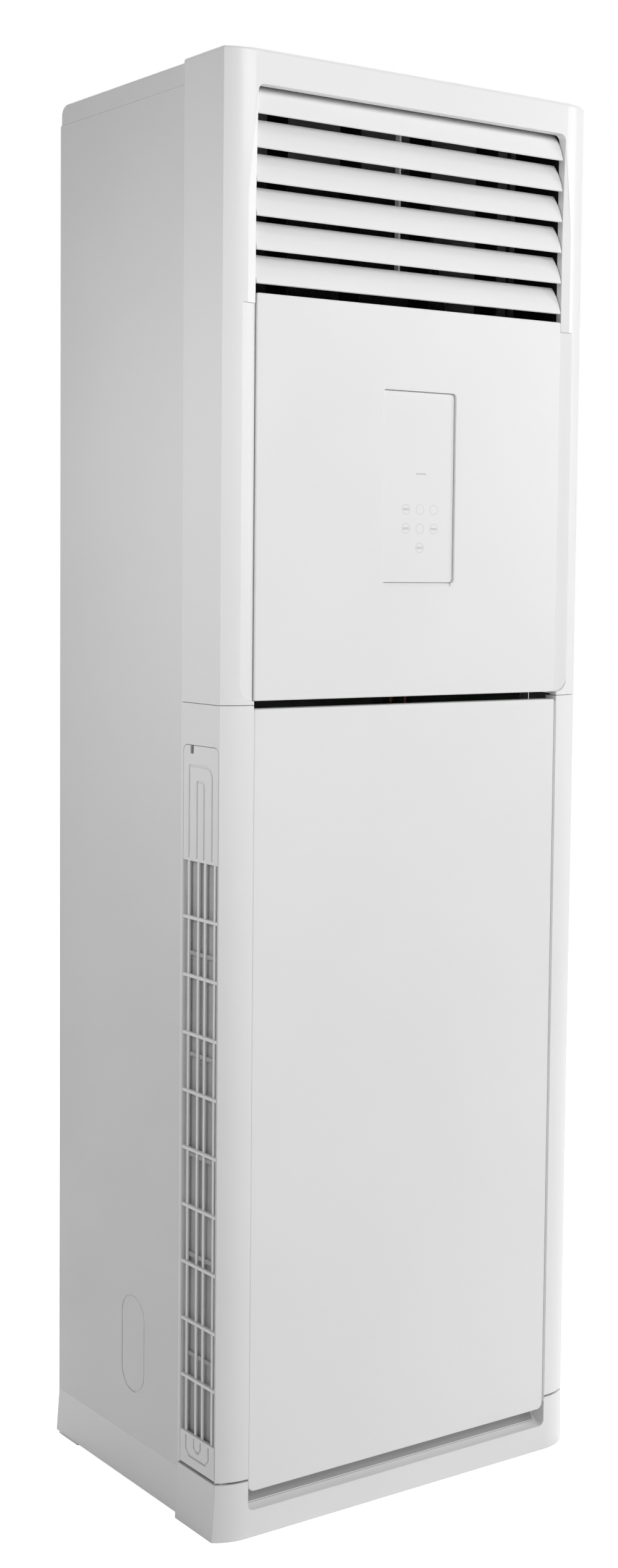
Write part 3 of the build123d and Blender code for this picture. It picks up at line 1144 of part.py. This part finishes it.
def control_board():
    """Main board on spacers, with its relays, capacitor and transformer."""
    back = SEAM_Y - SHEET
    face = back - SPACER - BOARD
    middle_x = BOX_LEFT + BOX_WIDTH / 2
    middle_z = BOX_FOOT + BOX_HEIGHT - BOX_DEPTH / 2 - BOARD_HEIGHT / 2
    board = along_y(Rectangle(BOARD_WIDTH, BOARD_HEIGHT), face, face + BOARD)
    for x in (-1, 1):
        for z in (-1, 1):
            corner = Pos(x * (BOARD_WIDTH / 2 - SPACER), z * (BOARD_HEIGHT / 2 - SPACER))
            board += along_y(corner * Rectangle(SPACER, SPACER), face + BOARD, back)
    for place, size, height in BOARD_BLOCKS:
        board += along_y(Pos(*place) * Rectangle(*size), face - height, face)
    board += along_y(Pos(*CAPACITOR_PLACE) * Circle(CAPACITOR_RADIUS), face - CAPACITOR_HEIGHT, face)
    return Pos(middle_x, 0, middle_z) * board


def terminal_block():
    """Screw terminals for the supply, below the main board."""
    back = SEAM_Y - SHEET
    pitch = TERMINAL_SIZE[0] / TERMINAL_COUNT
    block = along_y(Rectangle(*TERMINAL_SIZE), back - TERMINAL_DEPTH, back)
    for way in range(TERMINAL_COUNT):
        place = Pos((way - (TERMINAL_COUNT - 1) / 2) * pitch, 0)
        window = place * Rectangle(pitch - 2 * TERMINAL_WALL, TERMINAL_SIZE[1] - 2 * TERMINAL_WALL)
        block -= along_y(window, back - TERMINAL_DEPTH - 1, back - TERMINAL_DEPTH / 2)
    return Pos(BOX_LEFT + BOX_WIDTH / 2, 0, BOX_FOOT + TERMINAL_RISE) * block


NODES = {
    "front_base": front_base(),
    "rear_base": rear_base(),
    "left_column": lower_column(-1),
    "right_column": lower_column(1),
    "upper_front_frame": upper_front_frame(),
    "upper_front_panel": upper_front_panel(),
    "display_lens": display_lens(),
    "display_board": display_board(),
    "lower_front_panel": lower_front_panel(),
    "left_grille": side_grille(-1),
    "right_grille": side_grille(1),
    "left_filter": side_filter(-1),
    "right_filter": side_filter(1),
    "left_side_panel": side_panel(-1),
    "right_side_panel": side_panel(1),
    "side_pipe_covers": side_pipe_covers(),
    "rear_panel": rear_panel(),
    "rear_pipe_cover": rear_pipe_cover(),
    "top_cover": top_cover(),
    "wall_bracket": wall_bracket(),
    "cable_gland": cable_gland(),
    "casing_screws": casing_screws(),
    "outlet_duct": outlet_duct(),
    "louver_link": louver_link(),
    "louver_motor": louver_motor(),
    "vane_link": vane_link(),
    "vane_motor": vane_motor(),
    "fan_partition": fan_partition(),
    "mid_shelf": mid_shelf(),
    "scroll_front": scroll_front(),
    "scroll_back": scroll_back(),
    "inlet_ring": inlet_ring(),
    "fan_wheel": fan_wheel(),
    "fan_shaft": fan_shaft(),
    "fan_motor": fan_motor(),
    "motor_bracket": motor_bracket(),
    "coil_fins": coil_fins(),
    "coil_end_plates": coil_end_plates(),
    "coil_tubes": coil_tubes(),
    "drain_pan": drain_pan(),
    "pan_rails": pan_rails(),
    "drain_hose": drain_hose(),
    "refrigerant_pipes": refrigerant_pipes(),
    "flare_nuts": flare_nuts(),
    "front_baffle": front_baffle(),
    "control_box": control_box(),
    "control_board": control_board(),
    "terminal_block": terminal_block(),
}
for number in range(LOUVER_COUNT):
    NODES[f"louver_{number + 1}"] = louver(number)
for number in range(VANE_COUNT):
    NODES[f"vane_{number + 1}"] = vane(number)

os.makedirs("parts", exist_ok=True)
for name, shape in NODES.items():
    export_step(shape, f"parts/{name}.step")
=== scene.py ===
import json
import math

import bmesh
import bpy
from mathutils import Matrix, Vector


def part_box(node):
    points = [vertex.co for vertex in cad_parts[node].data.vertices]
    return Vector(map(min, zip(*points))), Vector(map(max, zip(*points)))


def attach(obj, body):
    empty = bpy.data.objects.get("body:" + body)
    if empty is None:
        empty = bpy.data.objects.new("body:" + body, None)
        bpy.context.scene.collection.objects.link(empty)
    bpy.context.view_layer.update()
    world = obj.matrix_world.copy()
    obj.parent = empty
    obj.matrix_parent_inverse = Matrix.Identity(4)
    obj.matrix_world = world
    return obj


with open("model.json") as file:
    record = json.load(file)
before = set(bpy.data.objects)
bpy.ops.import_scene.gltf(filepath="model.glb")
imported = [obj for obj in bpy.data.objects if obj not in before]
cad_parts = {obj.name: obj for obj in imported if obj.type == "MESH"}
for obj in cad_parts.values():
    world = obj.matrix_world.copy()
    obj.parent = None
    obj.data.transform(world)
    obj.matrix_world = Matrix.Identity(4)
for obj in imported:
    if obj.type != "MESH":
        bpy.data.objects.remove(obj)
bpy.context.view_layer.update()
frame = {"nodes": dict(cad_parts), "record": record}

# Camera: place in metres, angles in degrees, lens and sensor in millimetres, shift in parts of the frame
CAMERA_PLACE = (-1.6473, -2.3585, 1.1906)
CAMERA_YAW, CAMERA_PITCH, CAMERA_ROLL = 35.687, -4.037, 0.607
CAMERA_LENS, SENSOR_HEIGHT = 49.34, 36.0
CAMERA_SHIFT = (-0.02323, -0.04017)

# Room: light of the sky, what the floor adds where it is seen directly, and half its side in metres
SKY = 0.22
FLOOR_GLOW = 0.85
FLOOR_HALF = 12.0

# Lamps: place, target and side in metres, power in watts
LAMPS = {
    "key": ((0.9, -4.6, 2.0), (0.0, 0.0, 1.0), 3.0, 26.0),
    "high": ((0.5, -3.0, 2.9), (0.0, 0.0, 1.4), 1.4, 34.0),
    "right": ((3.4, -2.4, 1.9), (0.0, -0.2, 1.3), 1.6, 43.0),
    "left": ((-1.1, -0.25, 1.32), (-0.28, -0.05, 1.27), 0.5, 3.0),
    "top": ((0.5, 0.6, 4.2), (0.0, 0.0, 1.8), 1.2, 24.0),
    "back": ((0.8, 3.6, 2.2), (0.0, 0.0, 1.1), 2.2, 80.0),
}

# Tint, or stretch along the three axes, that changes nothing
EVEN = (1.0, 1.0, 1.0)


def new_object(name, data):
    """New object in the scene, with its data."""
    made = bpy.data.objects.new(name, data)
    bpy.context.scene.collection.objects.link(made)
    return made


# ---- camera ----
def camera():
    """Camera at the viewing angle of the photograph, in portrait format."""
    yaw, pitch, roll = [math.radians(turn) for turn in (CAMERA_YAW, CAMERA_PITCH, CAMERA_ROLL)]
    look = Vector((math.sin(yaw) * math.cos(pitch), math.cos(yaw) * math.cos(pitch), math.sin(pitch)))
    level_right = Vector((math.cos(yaw), -math.sin(yaw), 0.0))
    level_up = level_right.cross(look)
    right = level_right * math.cos(roll) + level_up * math.sin(roll)
    up = level_up * math.cos(roll) - level_right * math.sin(roll)
    data = bpy.data.cameras.new("camera")
    data.sensor_fit = "VERTICAL"
    data.sensor_height = SENSOR_HEIGHT
    data.lens = CAMERA_LENS
    data.shift_x, data.shift_y = CAMERA_SHIFT
    data.clip_end = 50.0
    made = new_object("camera", data)
    rotation = Matrix((right, up, -look)).transposed().to_4x4()
    made.matrix_world = Matrix.Translation(CAMERA_PLACE) @ rotation
    bpy.context.scene.camera = made


# ---- material helpers ----
def grey(level, tint=EVEN):
    """Linear colour of a display grey from 0 to 255."""
    value = level / 255.0
    linear = value / 12.92 if value <= 0.04045 else ((value + 0.055) / 1.055) ** 2.4
    return tuple(linear * part for part in tint) + (1.0,)


class Nodes:
    """A new material with its Principled shader, and short calls for adding and joining nodes."""

    def __init__(self, name, metallic=0.0, coat=0.0, coat_roughness=0.08, specular=0.5):
        self.material = bpy.data.materials.new(name)
        self.material.use_nodes = True
        self.tree = self.material.node_tree
        self.shader = self.tree.nodes["Principled BSDF"]
        self.shader.inputs["Metallic"].default_value = metallic
        self.shader.inputs["Coat Weight"].default_value = coat
        self.shader.inputs["Coat Roughness"].default_value = coat_roughness
        self.shader.inputs["Specular IOR Level"].default_value = specular
        self.coordinates = self.tree.nodes.new("ShaderNodeTexCoord").outputs["Object"]

    def add(self, kind, **values):
        """New node, with values for its inputs or else for its own settings."""
        node = self.tree.nodes.new(kind)
        for key, value in values.items():
            if key in node.inputs:
                node.inputs[key].default_value = value
            else:
                setattr(node, key, value)
        return node

    def join(self, start, end):
        """Link from an output to an input."""
        self.tree.links.new(start, end)

    def noise(self, scale, detail=3.0, stretch=EVEN):
        """Noise over the object, in turns per metre, which stretch multiplies along each axis."""
        place = self.add("ShaderNodeMapping", Scale=stretch)
        self.join(self.coordinates, place.inputs["Vector"])
        noise = self.add("ShaderNodeTexNoise", Scale=scale, Detail=detail)
        self.join(place.outputs["Vector"], noise.inputs["Vector"])
        return noise.outputs["Fac"]

    def ribs(self, pitch, direction):
        """Even waves along one axis, with their pitch in metres, which is a tenth of pi at scale 1."""
        wave = self.add("ShaderNodeTexWave", Scale=0.1 * math.pi / pitch, bands_direction=direction)
        self.join(self.coordinates, wave.inputs["Vector"])
        return wave.outputs["Fac"]

    def cells(self, scale, output):
        """Crystals or grains over the object, in cells per metre."""
        cells = self.add("ShaderNodeTexVoronoi", Scale=scale)
        self.join(self.coordinates, cells.inputs["Vector"])
        return cells.outputs[output]

    def math(self, operation, first, second):
        """Result of an operation on two outputs."""
        node = self.add("ShaderNodeMath", operation=operation)
        self.join(first, node.inputs[0])
        self.join(second, node.inputs[1])
        return node.outputs["Value"]

    def between(self, factor, low=0.0, high=1.0, start=0.3, end=0.7):
        """Value that goes from low to high while a factor goes from start to end."""
        values = {"From Min": start, "From Max": end, "To Min": low, "To Max": high}
        span = self.add("ShaderNodeMapRange", **values)
        self.join(factor, span.inputs["Value"])
        return span.outputs["Result"]

    def colour(self, factor, low, high, tint=EVEN):
        """Base colour that follows a factor between two display greys."""
        mix = self.add("ShaderNodeMix", data_type="RGBA")
        first, second = [socket for socket in mix.inputs if socket.type == "RGBA"]
        first.default_value = grey(low, tint)
        second.default_value = grey(high, tint)
        self.join(factor, mix.inputs["Factor"])
        result = [socket for socket in mix.outputs if socket.type == "RGBA"][0]
        self.join(result, self.shader.inputs["Base Color"])

    def roughness(self, factor, low, high):
        """Roughness that follows a factor from low to high."""
        self.join(self.between(factor, low, high), self.shader.inputs["Roughness"])

    def bump(self, height, strength, distance, edge=0.0):
        """Relief with its height in metres, and edges that look rounded by a radius, if one is given."""
        bump = self.add("ShaderNodeBump", Strength=strength, Distance=distance)
        self.join(height, bump.inputs["Height"])
        if edge:
            rounded = self.add("ShaderNodeBevel", samples=6, Radius=edge)
            self.join(rounded.outputs["Normal"], bump.inputs["Normal"])
        self.join(bump.outputs["Normal"], self.shader.inputs["Normal"])


# ---- materials ----
def moulded(name, level, roughness, grain=1400.0, height=0.00004, spread=2.5, coat=0.0, tint=EVEN, edge=0.0,
            specular=0.5):
    """Injection moulded plastic: faint clouds of colour, smeared gloss and a fine spark-eroded grain.

    The level is a display grey, the grain is in turns per metre, and its height and the edge radius in metres.
    """
    nodes = Nodes(name, coat=coat, specular=specular)
    clouds = nodes.between(nodes.noise(2.2, detail=2.0))
    nodes.colour(clouds, level - spread, level + spread, tint)
    nodes.roughness(nodes.noise(9.0, detail=4.0), roughness * 0.88, roughness * 1.12)
    nodes.bump(nodes.noise(grain, detail=2.0), strength=0.35, distance=height, edge=edge)
    return nodes.material


def coated_steel():
    """Powder coat on sheet steel, with faint clouds of colour and the fine lumps of orange peel."""
    nodes = Nodes("white_steel", coat=0.1, coat_roughness=0.25)
    clouds = nodes.between(nodes.noise(1.6, detail=2.0))
    nodes.colour(clouds, 230.5, 235.5)
    nodes.roughness(nodes.noise(6.0, detail=4.0), 0.42, 0.54)
    peel = nodes.between(nodes.noise(520.0, detail=2.0))
    nodes.bump(peel, strength=0.3, distance=0.00008)
    return nodes.material


def lens():
    """Glossy cover with a faint haze of finger marks."""
    nodes = Nodes("clear_lens", coat=0.3, coat_roughness=0.12)
    nodes.colour(nodes.between(nodes.noise(3.0, detail=2.0)), 238, 241)
    nodes.roughness(nodes.noise(5.0, detail=2.0), 0.31, 0.34)
    nodes.bump(nodes.noise(900.0, detail=1.0), strength=0.1, distance=0.00001, edge=0.0008)
    return nodes.material


def board():
    """Green lacquer over the copper tracks of a circuit board."""
    nodes = Nodes("circuit_board", coat=0.4)
    tracks = nodes.math("MAXIMUM", nodes.ribs(0.005, "X"), nodes.ribs(0.005, "Z"))
    nodes.colour(nodes.between(tracks, start=0.9, end=0.96), 78, 112, tint=(0.35, 1.0, 0.5))
    nodes.roughness(nodes.noise(40.0), 0.28, 0.42)
    nodes.bump(tracks, strength=0.4, distance=0.0001)
    return nodes.material


def mesh_cloth():
    """Woven dust filter: threads at right angles, with darker holes between them and patches of dust."""
    nodes = Nodes("filter_mesh")
    threads = nodes.math("MAXIMUM", nodes.ribs(0.0014, "Z"), nodes.ribs(0.0014, "Y"))
    dust = nodes.noise(14.0, detail=5.0)
    dusty_threads = nodes.math("MULTIPLY", threads, dust)
    # Pale greys raised so the filter recessed behind the grille reads lighter: partly its own colour, partly
    # painted light
    nodes.colour(nodes.between(dusty_threads, start=0.1, end=0.65), 165, 215)
    nodes.roughness(dust, 0.6, 0.85)
    nodes.bump(threads, strength=0.8, distance=0.0003)
    return nodes.material


def galvanised():
    """Zinc coat with its spangle of crystals."""
    nodes = Nodes("galvanised_steel", metallic=0.85)
    tone = nodes.add("ShaderNodeRGBToBW")
    nodes.join(nodes.cells(90.0, "Color"), tone.inputs["Color"])
    crystals = tone.outputs["Val"]
    nodes.colour(crystals, 168, 204, tint=(0.98, 1.0, 1.02))
    nodes.roughness(crystals, 0.3, 0.46)
    nodes.bump(nodes.cells(90.0, "Distance"), strength=0.15, distance=0.00008)
    return nodes.material


def foam():
    """Rigid expanded foam: beads pressed into each other, with painted shade in the creases where they meet.
    """
    nodes = Nodes("foam")
    beads = nodes.cells(330.0, "Distance")
    # Darker where the beads meet: painted shade in the creases
    nodes.colour(nodes.between(beads, start=0.1, end=0.7), 238, 218)
    nodes.roughness(nodes.noise(40.0), 0.84, 0.95)
    crowns = nodes.between(beads, low=1.0, high=0.0, start=0.0, end=0.8)
    nodes.bump(crowns, strength=0.6, distance=0.0004)
    return nodes.material


def metal(name, low, high, roughness, scale, tint=EVEN, stretch=EVEN, metallic=1.0):
    """Bare or painted metal between two greys, with fine marks that a stretch draws out into streaks."""
    nodes = Nodes(name, metallic=metallic)
    streaks = nodes.noise(scale, stretch=stretch)
    nodes.colour(nodes.between(streaks), low, high, tint)
    nodes.roughness(streaks, roughness * 0.8, roughness * 1.25)
    nodes.bump(streaks, strength=0.2, distance=0.00004)
    return nodes.material


def coil_fins():
    """Pack of thin aluminium fins, seen on their edges, with painted shade in the gaps between them."""
    nodes = Nodes("fins", metallic=0.8)
    edges = nodes.ribs(0.0018, "X")
    # Dark between the fin edges: painted shade in the gaps
    nodes.colour(nodes.between(edges, start=0.2, end=0.9), 30, 122, tint=(0.97, 1.0, 1.03))
    nodes.roughness(nodes.noise(30.0), 0.3, 0.5)
    nodes.bump(edges, strength=0.9, distance=0.0008)
    return nodes.material


def ribbed_hose():
    """Soft corrugated hose, with painted shade in the troughs of its rings."""
    nodes = Nodes("hose")
    rings = nodes.ribs(0.005, "Z")
    # Darker in the troughs of the rings: painted shade
    nodes.colour(nodes.between(rings, start=0.1, end=0.9), 188, 212)
    nodes.roughness(nodes.noise(60.0), 0.5, 0.7)
    nodes.bump(rings, strength=0.8, distance=0.0008)
    return nodes.material


# The finish of each material slot
MATERIALS = {
    "white_moulding": moulded("white_moulding", level=240, roughness=0.36, coat=0.15, edge=0.0016),
    # The blades' white is set above the moulding's to brighten their shaded tops: partly their own white,
    # partly painted light
    "white_blade": moulded("white_blade", level=248, roughness=0.32, coat=0.25, edge=0.0012),
    "white_steel": coated_steel(),
    "clear_lens": lens(),
    "circuit_board": board(),
    "filter_mesh": mesh_cloth(),
    "galvanised_steel": galvanised(),
    # Near black with little gloss, made darker so the inside seen through the slots reads as shade: partly its
    # own colour, partly painted shade
    "inner_plastic": moulded(
        "inner_plastic", level=26, roughness=0.7, grain=900.0, height=0.00008, specular=0.12),
    "fan_plastic": moulded("fan_plastic", level=58, roughness=0.45, grain=900.0, height=0.00006),
    "foam": foam(),
    "motor_shell": metal("motor_shell", 76, 98, roughness=0.42, scale=600.0, metallic=0.4),
    "shaft_steel": metal("shaft_steel", 186, 206, roughness=0.22, scale=900.0, stretch=(1.0, 12.0, 1.0)),
    "fins": coil_fins(),
    "copper": metal("copper", 186, 216, roughness=0.28, scale=90.0, tint=(1.0, 0.55, 0.36)),
    "nuts": metal("nuts", 200, 220, roughness=0.28, scale=260.0, tint=(1.0, 0.78, 0.42)),
    "hose": ribbed_hose(),
    "black_rubber": moulded("black_rubber", level=42, roughness=0.75, grain=700.0, height=0.0002),
    "terminal": moulded(
        "terminal", level=222, roughness=0.5, grain=700.0, height=0.00006, tint=(1.0, 0.96, 0.84)),
    "screw_steel": metal("screw_steel", 178, 204, roughness=0.3, scale=700.0, stretch=(1.0, 1.0, 6.0)),
    "step_motor": metal("step_motor", 192, 214, roughness=0.4, scale=500.0, metallic=0.6),
}


def finish_nodes():
    """Gives every CAD node the material of its slot."""
    slots = {part["node"]: part["material_slot"] for part in frame["record"]["subparts"]}
    for name, node in frame["nodes"].items():
        node.data.materials.clear()
        node.data.materials.append(MATERIALS[slots[name]])


# ---- pieces ----
def piece(name, verts, faces, material, body):
    """New mesh piece on a body, with the material it is given."""
    mesh = bpy.data.meshes.new(name)
    mesh.from_pydata(verts, [], faces)
    mesh.materials.append(material)
    made = new_object(name, mesh)
    build = bmesh.new()
    build.from_mesh(mesh)
    bmesh.ops.recalc_face_normals(build, faces=build.faces)
    build.to_mesh(mesh)
    build.free()
    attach(made, body)


def band(outer, inner, low, high):
    """Vertices and faces of a closed band in (X, Z) between two loops, from Y low to Y high."""
    count = len(outer)
    verts = [(x, y, z) for y in (low, high) for loop in (outer, inner) for x, z in loop]
    faces = []
    for i in range(count):
        j = (i + 1) % count
        front = (i, j, count + j, count + i)
        back = tuple(2 * count + corner for corner in front)
        faces += [front, back[::-1]]
        faces.append((front[0], back[0], back[1], front[1]))
        faces.append((front[3], front[2], back[2], back[3]))
    return verts, faces


def ring(x, z, radius, width):
    """Outer and inner loop of a round band about a point in (X, Z)."""
    segments = 48
    turns = [2.0 * math.pi * i / segments for i in range(segments)]
    outer = [(x + radius * math.cos(t), z + radius * math.sin(t)) for t in turns]
    inner = [(x + (radius - width) * math.cos(t), z + (radius - width) * math.sin(t)) for t in turns]
    return outer, inner


def dash(x, z, half_length, half_height):
    """Outer and inner loop of a lying bar about a point in (X, Z), which is a band round a fine slit."""
    slit_length, slit_height = 0.9, 0.1
    corners = ((-half_length, -half_height), (half_length, -half_height), (half_length, half_height),
               (-half_length, half_height))
    outer = [(x + u, z + v) for u, v in corners]
    inner = [(x + u * slit_length, z + v * slit_height) for u, v in corners]
    return outer, inner


def touch_marks():
    """Print on the control window: seven rings in three rows, four of them with a dash, and a dash above."""
    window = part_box("display_lens")[0]
    proud, sunk = 0.00006, 0.00002
    middle, foot = window.x + 0.0610, window.z + 0.0435
    across, up = 0.0220, 0.0240
    places = [(middle + column * across, foot + row * up) for row in (2, 1) for column in (-1, 0, 1)]
    places.append((middle, foot))
    loops = [ring(x, z, radius=0.0064, width=0.0005) for x, z in places]
    loops += [dash(*places[i], half_length=0.0048, half_height=0.0013) for i in (0, 3, 5, 6)]
    loops.append(dash(middle + 0.0010, foot + 0.0925, half_length=0.0080, half_height=0.0011))
    verts, faces = [], []
    for outer, inner in loops:
        more_verts, more_faces = band(outer, inner, window.y - proud, window.y + sunk)
        start = len(verts)
        verts += more_verts
        faces += [tuple(start + i for i in face) for face in more_faces]
    ink = moulded("touch_print", level=208, roughness=0.4, spread=1.0)
    piece("touch_marks", verts, faces, ink, "cabinet")


def prism_faces(count):
    """Faces of a closed prism between two like outlines, each of count points."""
    sides = [(i, (i + 1) % count, count + (i + 1) % count, count + i) for i in range(count)]
    return sides + [tuple(range(count)), tuple(range(2 * count - 1, count - 1, -1))]


def grip_shade_strip():
    """Grey strip on the back of the finger grip, under the loose panel, with a hollow front: painted shade
    below the panel's lower edge.
    """
    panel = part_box("lower_front_panel")
    back = panel[1].y + 0.0015  # the wall at the back of the grip, a gap behind the panel
    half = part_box("right_column")[0].x - 0.0055
    foot, top = panel[0].z - 0.0198, panel[0].z - 0.0025
    foot_depth, top_depth = 0.0085, 0.0010
    steps = 8
    section = [(back, top), (back, foot)]
    for i in range(steps + 1):
        turn = 0.5 * math.pi * i / steps
        depth = foot_depth + (top_depth - foot_depth) * math.sin(turn)
        section.append((back - depth, top - (top - foot) * math.cos(turn)))
    verts = [(x, y, z) for x in (-half, half) for y, z in section]
    # Mid grey strip that darkens the grip under the panel's edge: painted shade
    shade_grey = moulded("grip_shade_grey", level=164, roughness=0.75, grain=700.0, height=0.0002)
    piece("grip_shade_strip", verts, prism_faces(len(section)), shade_grey, "cabinet")


def panel_lips():
    """Sloping lips on the inner walls of both columns, in the gaps beside the loose panel."""
    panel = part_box("lower_front_panel")
    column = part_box("right_column")[0]
    foot, top = panel[0].z + 0.0100, panel[1].z - 0.0020
    width, depth = 0.0012, 0.0100
    # Each point's distance from the wall, and how far it lies behind the front of the column
    section = [(0.0, 0.0002), (0.5 * width, 0.0007), (width, 0.0014), (width, depth), (0.0, depth)]
    outline = [(column.x - out, column.y + behind) for out, behind in section]
    for name, side in (("left_panel_lip", -1.0), ("right_panel_lip", 1.0)):
        verts = [(side * x, y, z) for z in (foot, top) for x, y in outline]
        faces = prism_faces(len(outline))
        piece(name, verts, faces, MATERIALS["white_moulding"], "cabinet")


# ---- room ----
def seen_directly(tree):
    """1 where a camera, mirror or glass ray looks at it, else 0."""
    path = tree.nodes.new("ShaderNodeLightPath")
    seen = path.outputs["Is Camera Ray"]
    for kind in ("Is Glossy Ray", "Is Transmission Ray"):
        either = tree.nodes.new("ShaderNodeMath")
        either.operation = "MAXIMUM"
        tree.links.new(seen, either.inputs[0])
        tree.links.new(path.outputs[kind], either.inputs[1])
        seen = either.outputs["Value"]
    return seen


def levels(tree, factor, low, high):
    """Value that goes from low to high while a factor goes from 0 to 1."""
    span = tree.nodes.new("ShaderNodeMapRange")
    span.inputs["To Min"].default_value = low
    span.inputs["To Max"].default_value = high
    tree.links.new(factor, span.inputs["Value"])
    return span.outputs["Result"]


def floor_material():
    """Pale floor that shows white to the camera where no shadow falls."""
    material = bpy.data.materials.new("floor")
    material.use_nodes = True
    tree = material.node_tree
    shader = tree.nodes["Principled BSDF"]
    shader.inputs["Base Color"].default_value = (0.82, 0.82, 0.82, 1.0)
    shader.inputs["Roughness"].default_value = 0.9
    shader.inputs["Specular IOR Level"].default_value = 0.0
    shader.inputs["Emission Color"].default_value = (1.0, 1.0, 1.0, 1.0)
    glow = levels(tree, seen_directly(tree), 0.0, FLOOR_GLOW)
    tree.links.new(glow, shader.inputs["Emission Strength"])
    return material


def lamp(name, place, target, side, power):
    """Soft square lamp that points at a target."""
    data = bpy.data.lights.new(name, "AREA")
    data.shape = "SQUARE"
    data.size = side
    data.energy = power
    direction = Vector(target) - Vector(place)
    turn = direction.to_track_quat("-Z", "Y").to_matrix().to_4x4()
    new_object(name, data).matrix_world = Matrix.Translation(place) @ turn


def room():
    """Plain floor, even sky and soft lamps."""
    mesh = bpy.data.meshes.new("floor")
    corners = [(FLOOR_HALF * x, FLOOR_HALF * y, 0.0) for x, y in ((-1, -1), (1, -1), (1, 1), (-1, 1))]
    mesh.from_pydata(corners, [], [(0, 1, 2, 3)])
    mesh.materials.append(floor_material())
    floor = new_object("floor", mesh)

    world = bpy.data.worlds.new("world")
    bpy.context.scene.world = world
    world.use_nodes = True
    tree = world.node_tree
    background = tree.nodes["Background"]
    background.inputs["Color"].default_value = (1.0, 1.0, 1.0, 1.0)
    tree.links.new(levels(tree, seen_directly(tree), SKY, 1.0), background.inputs["Strength"])

    for name, (place, target, side, power) in LAMPS.items():
        lamp(name, place, target, side, power)


camera()
finish_nodes()
touch_marks()
# Grey strip in the grip under the loose panel: painted shade
grip_shade_strip()
panel_lips()
room()
bpy.context.scene.view_settings.view_transform = "Standard"
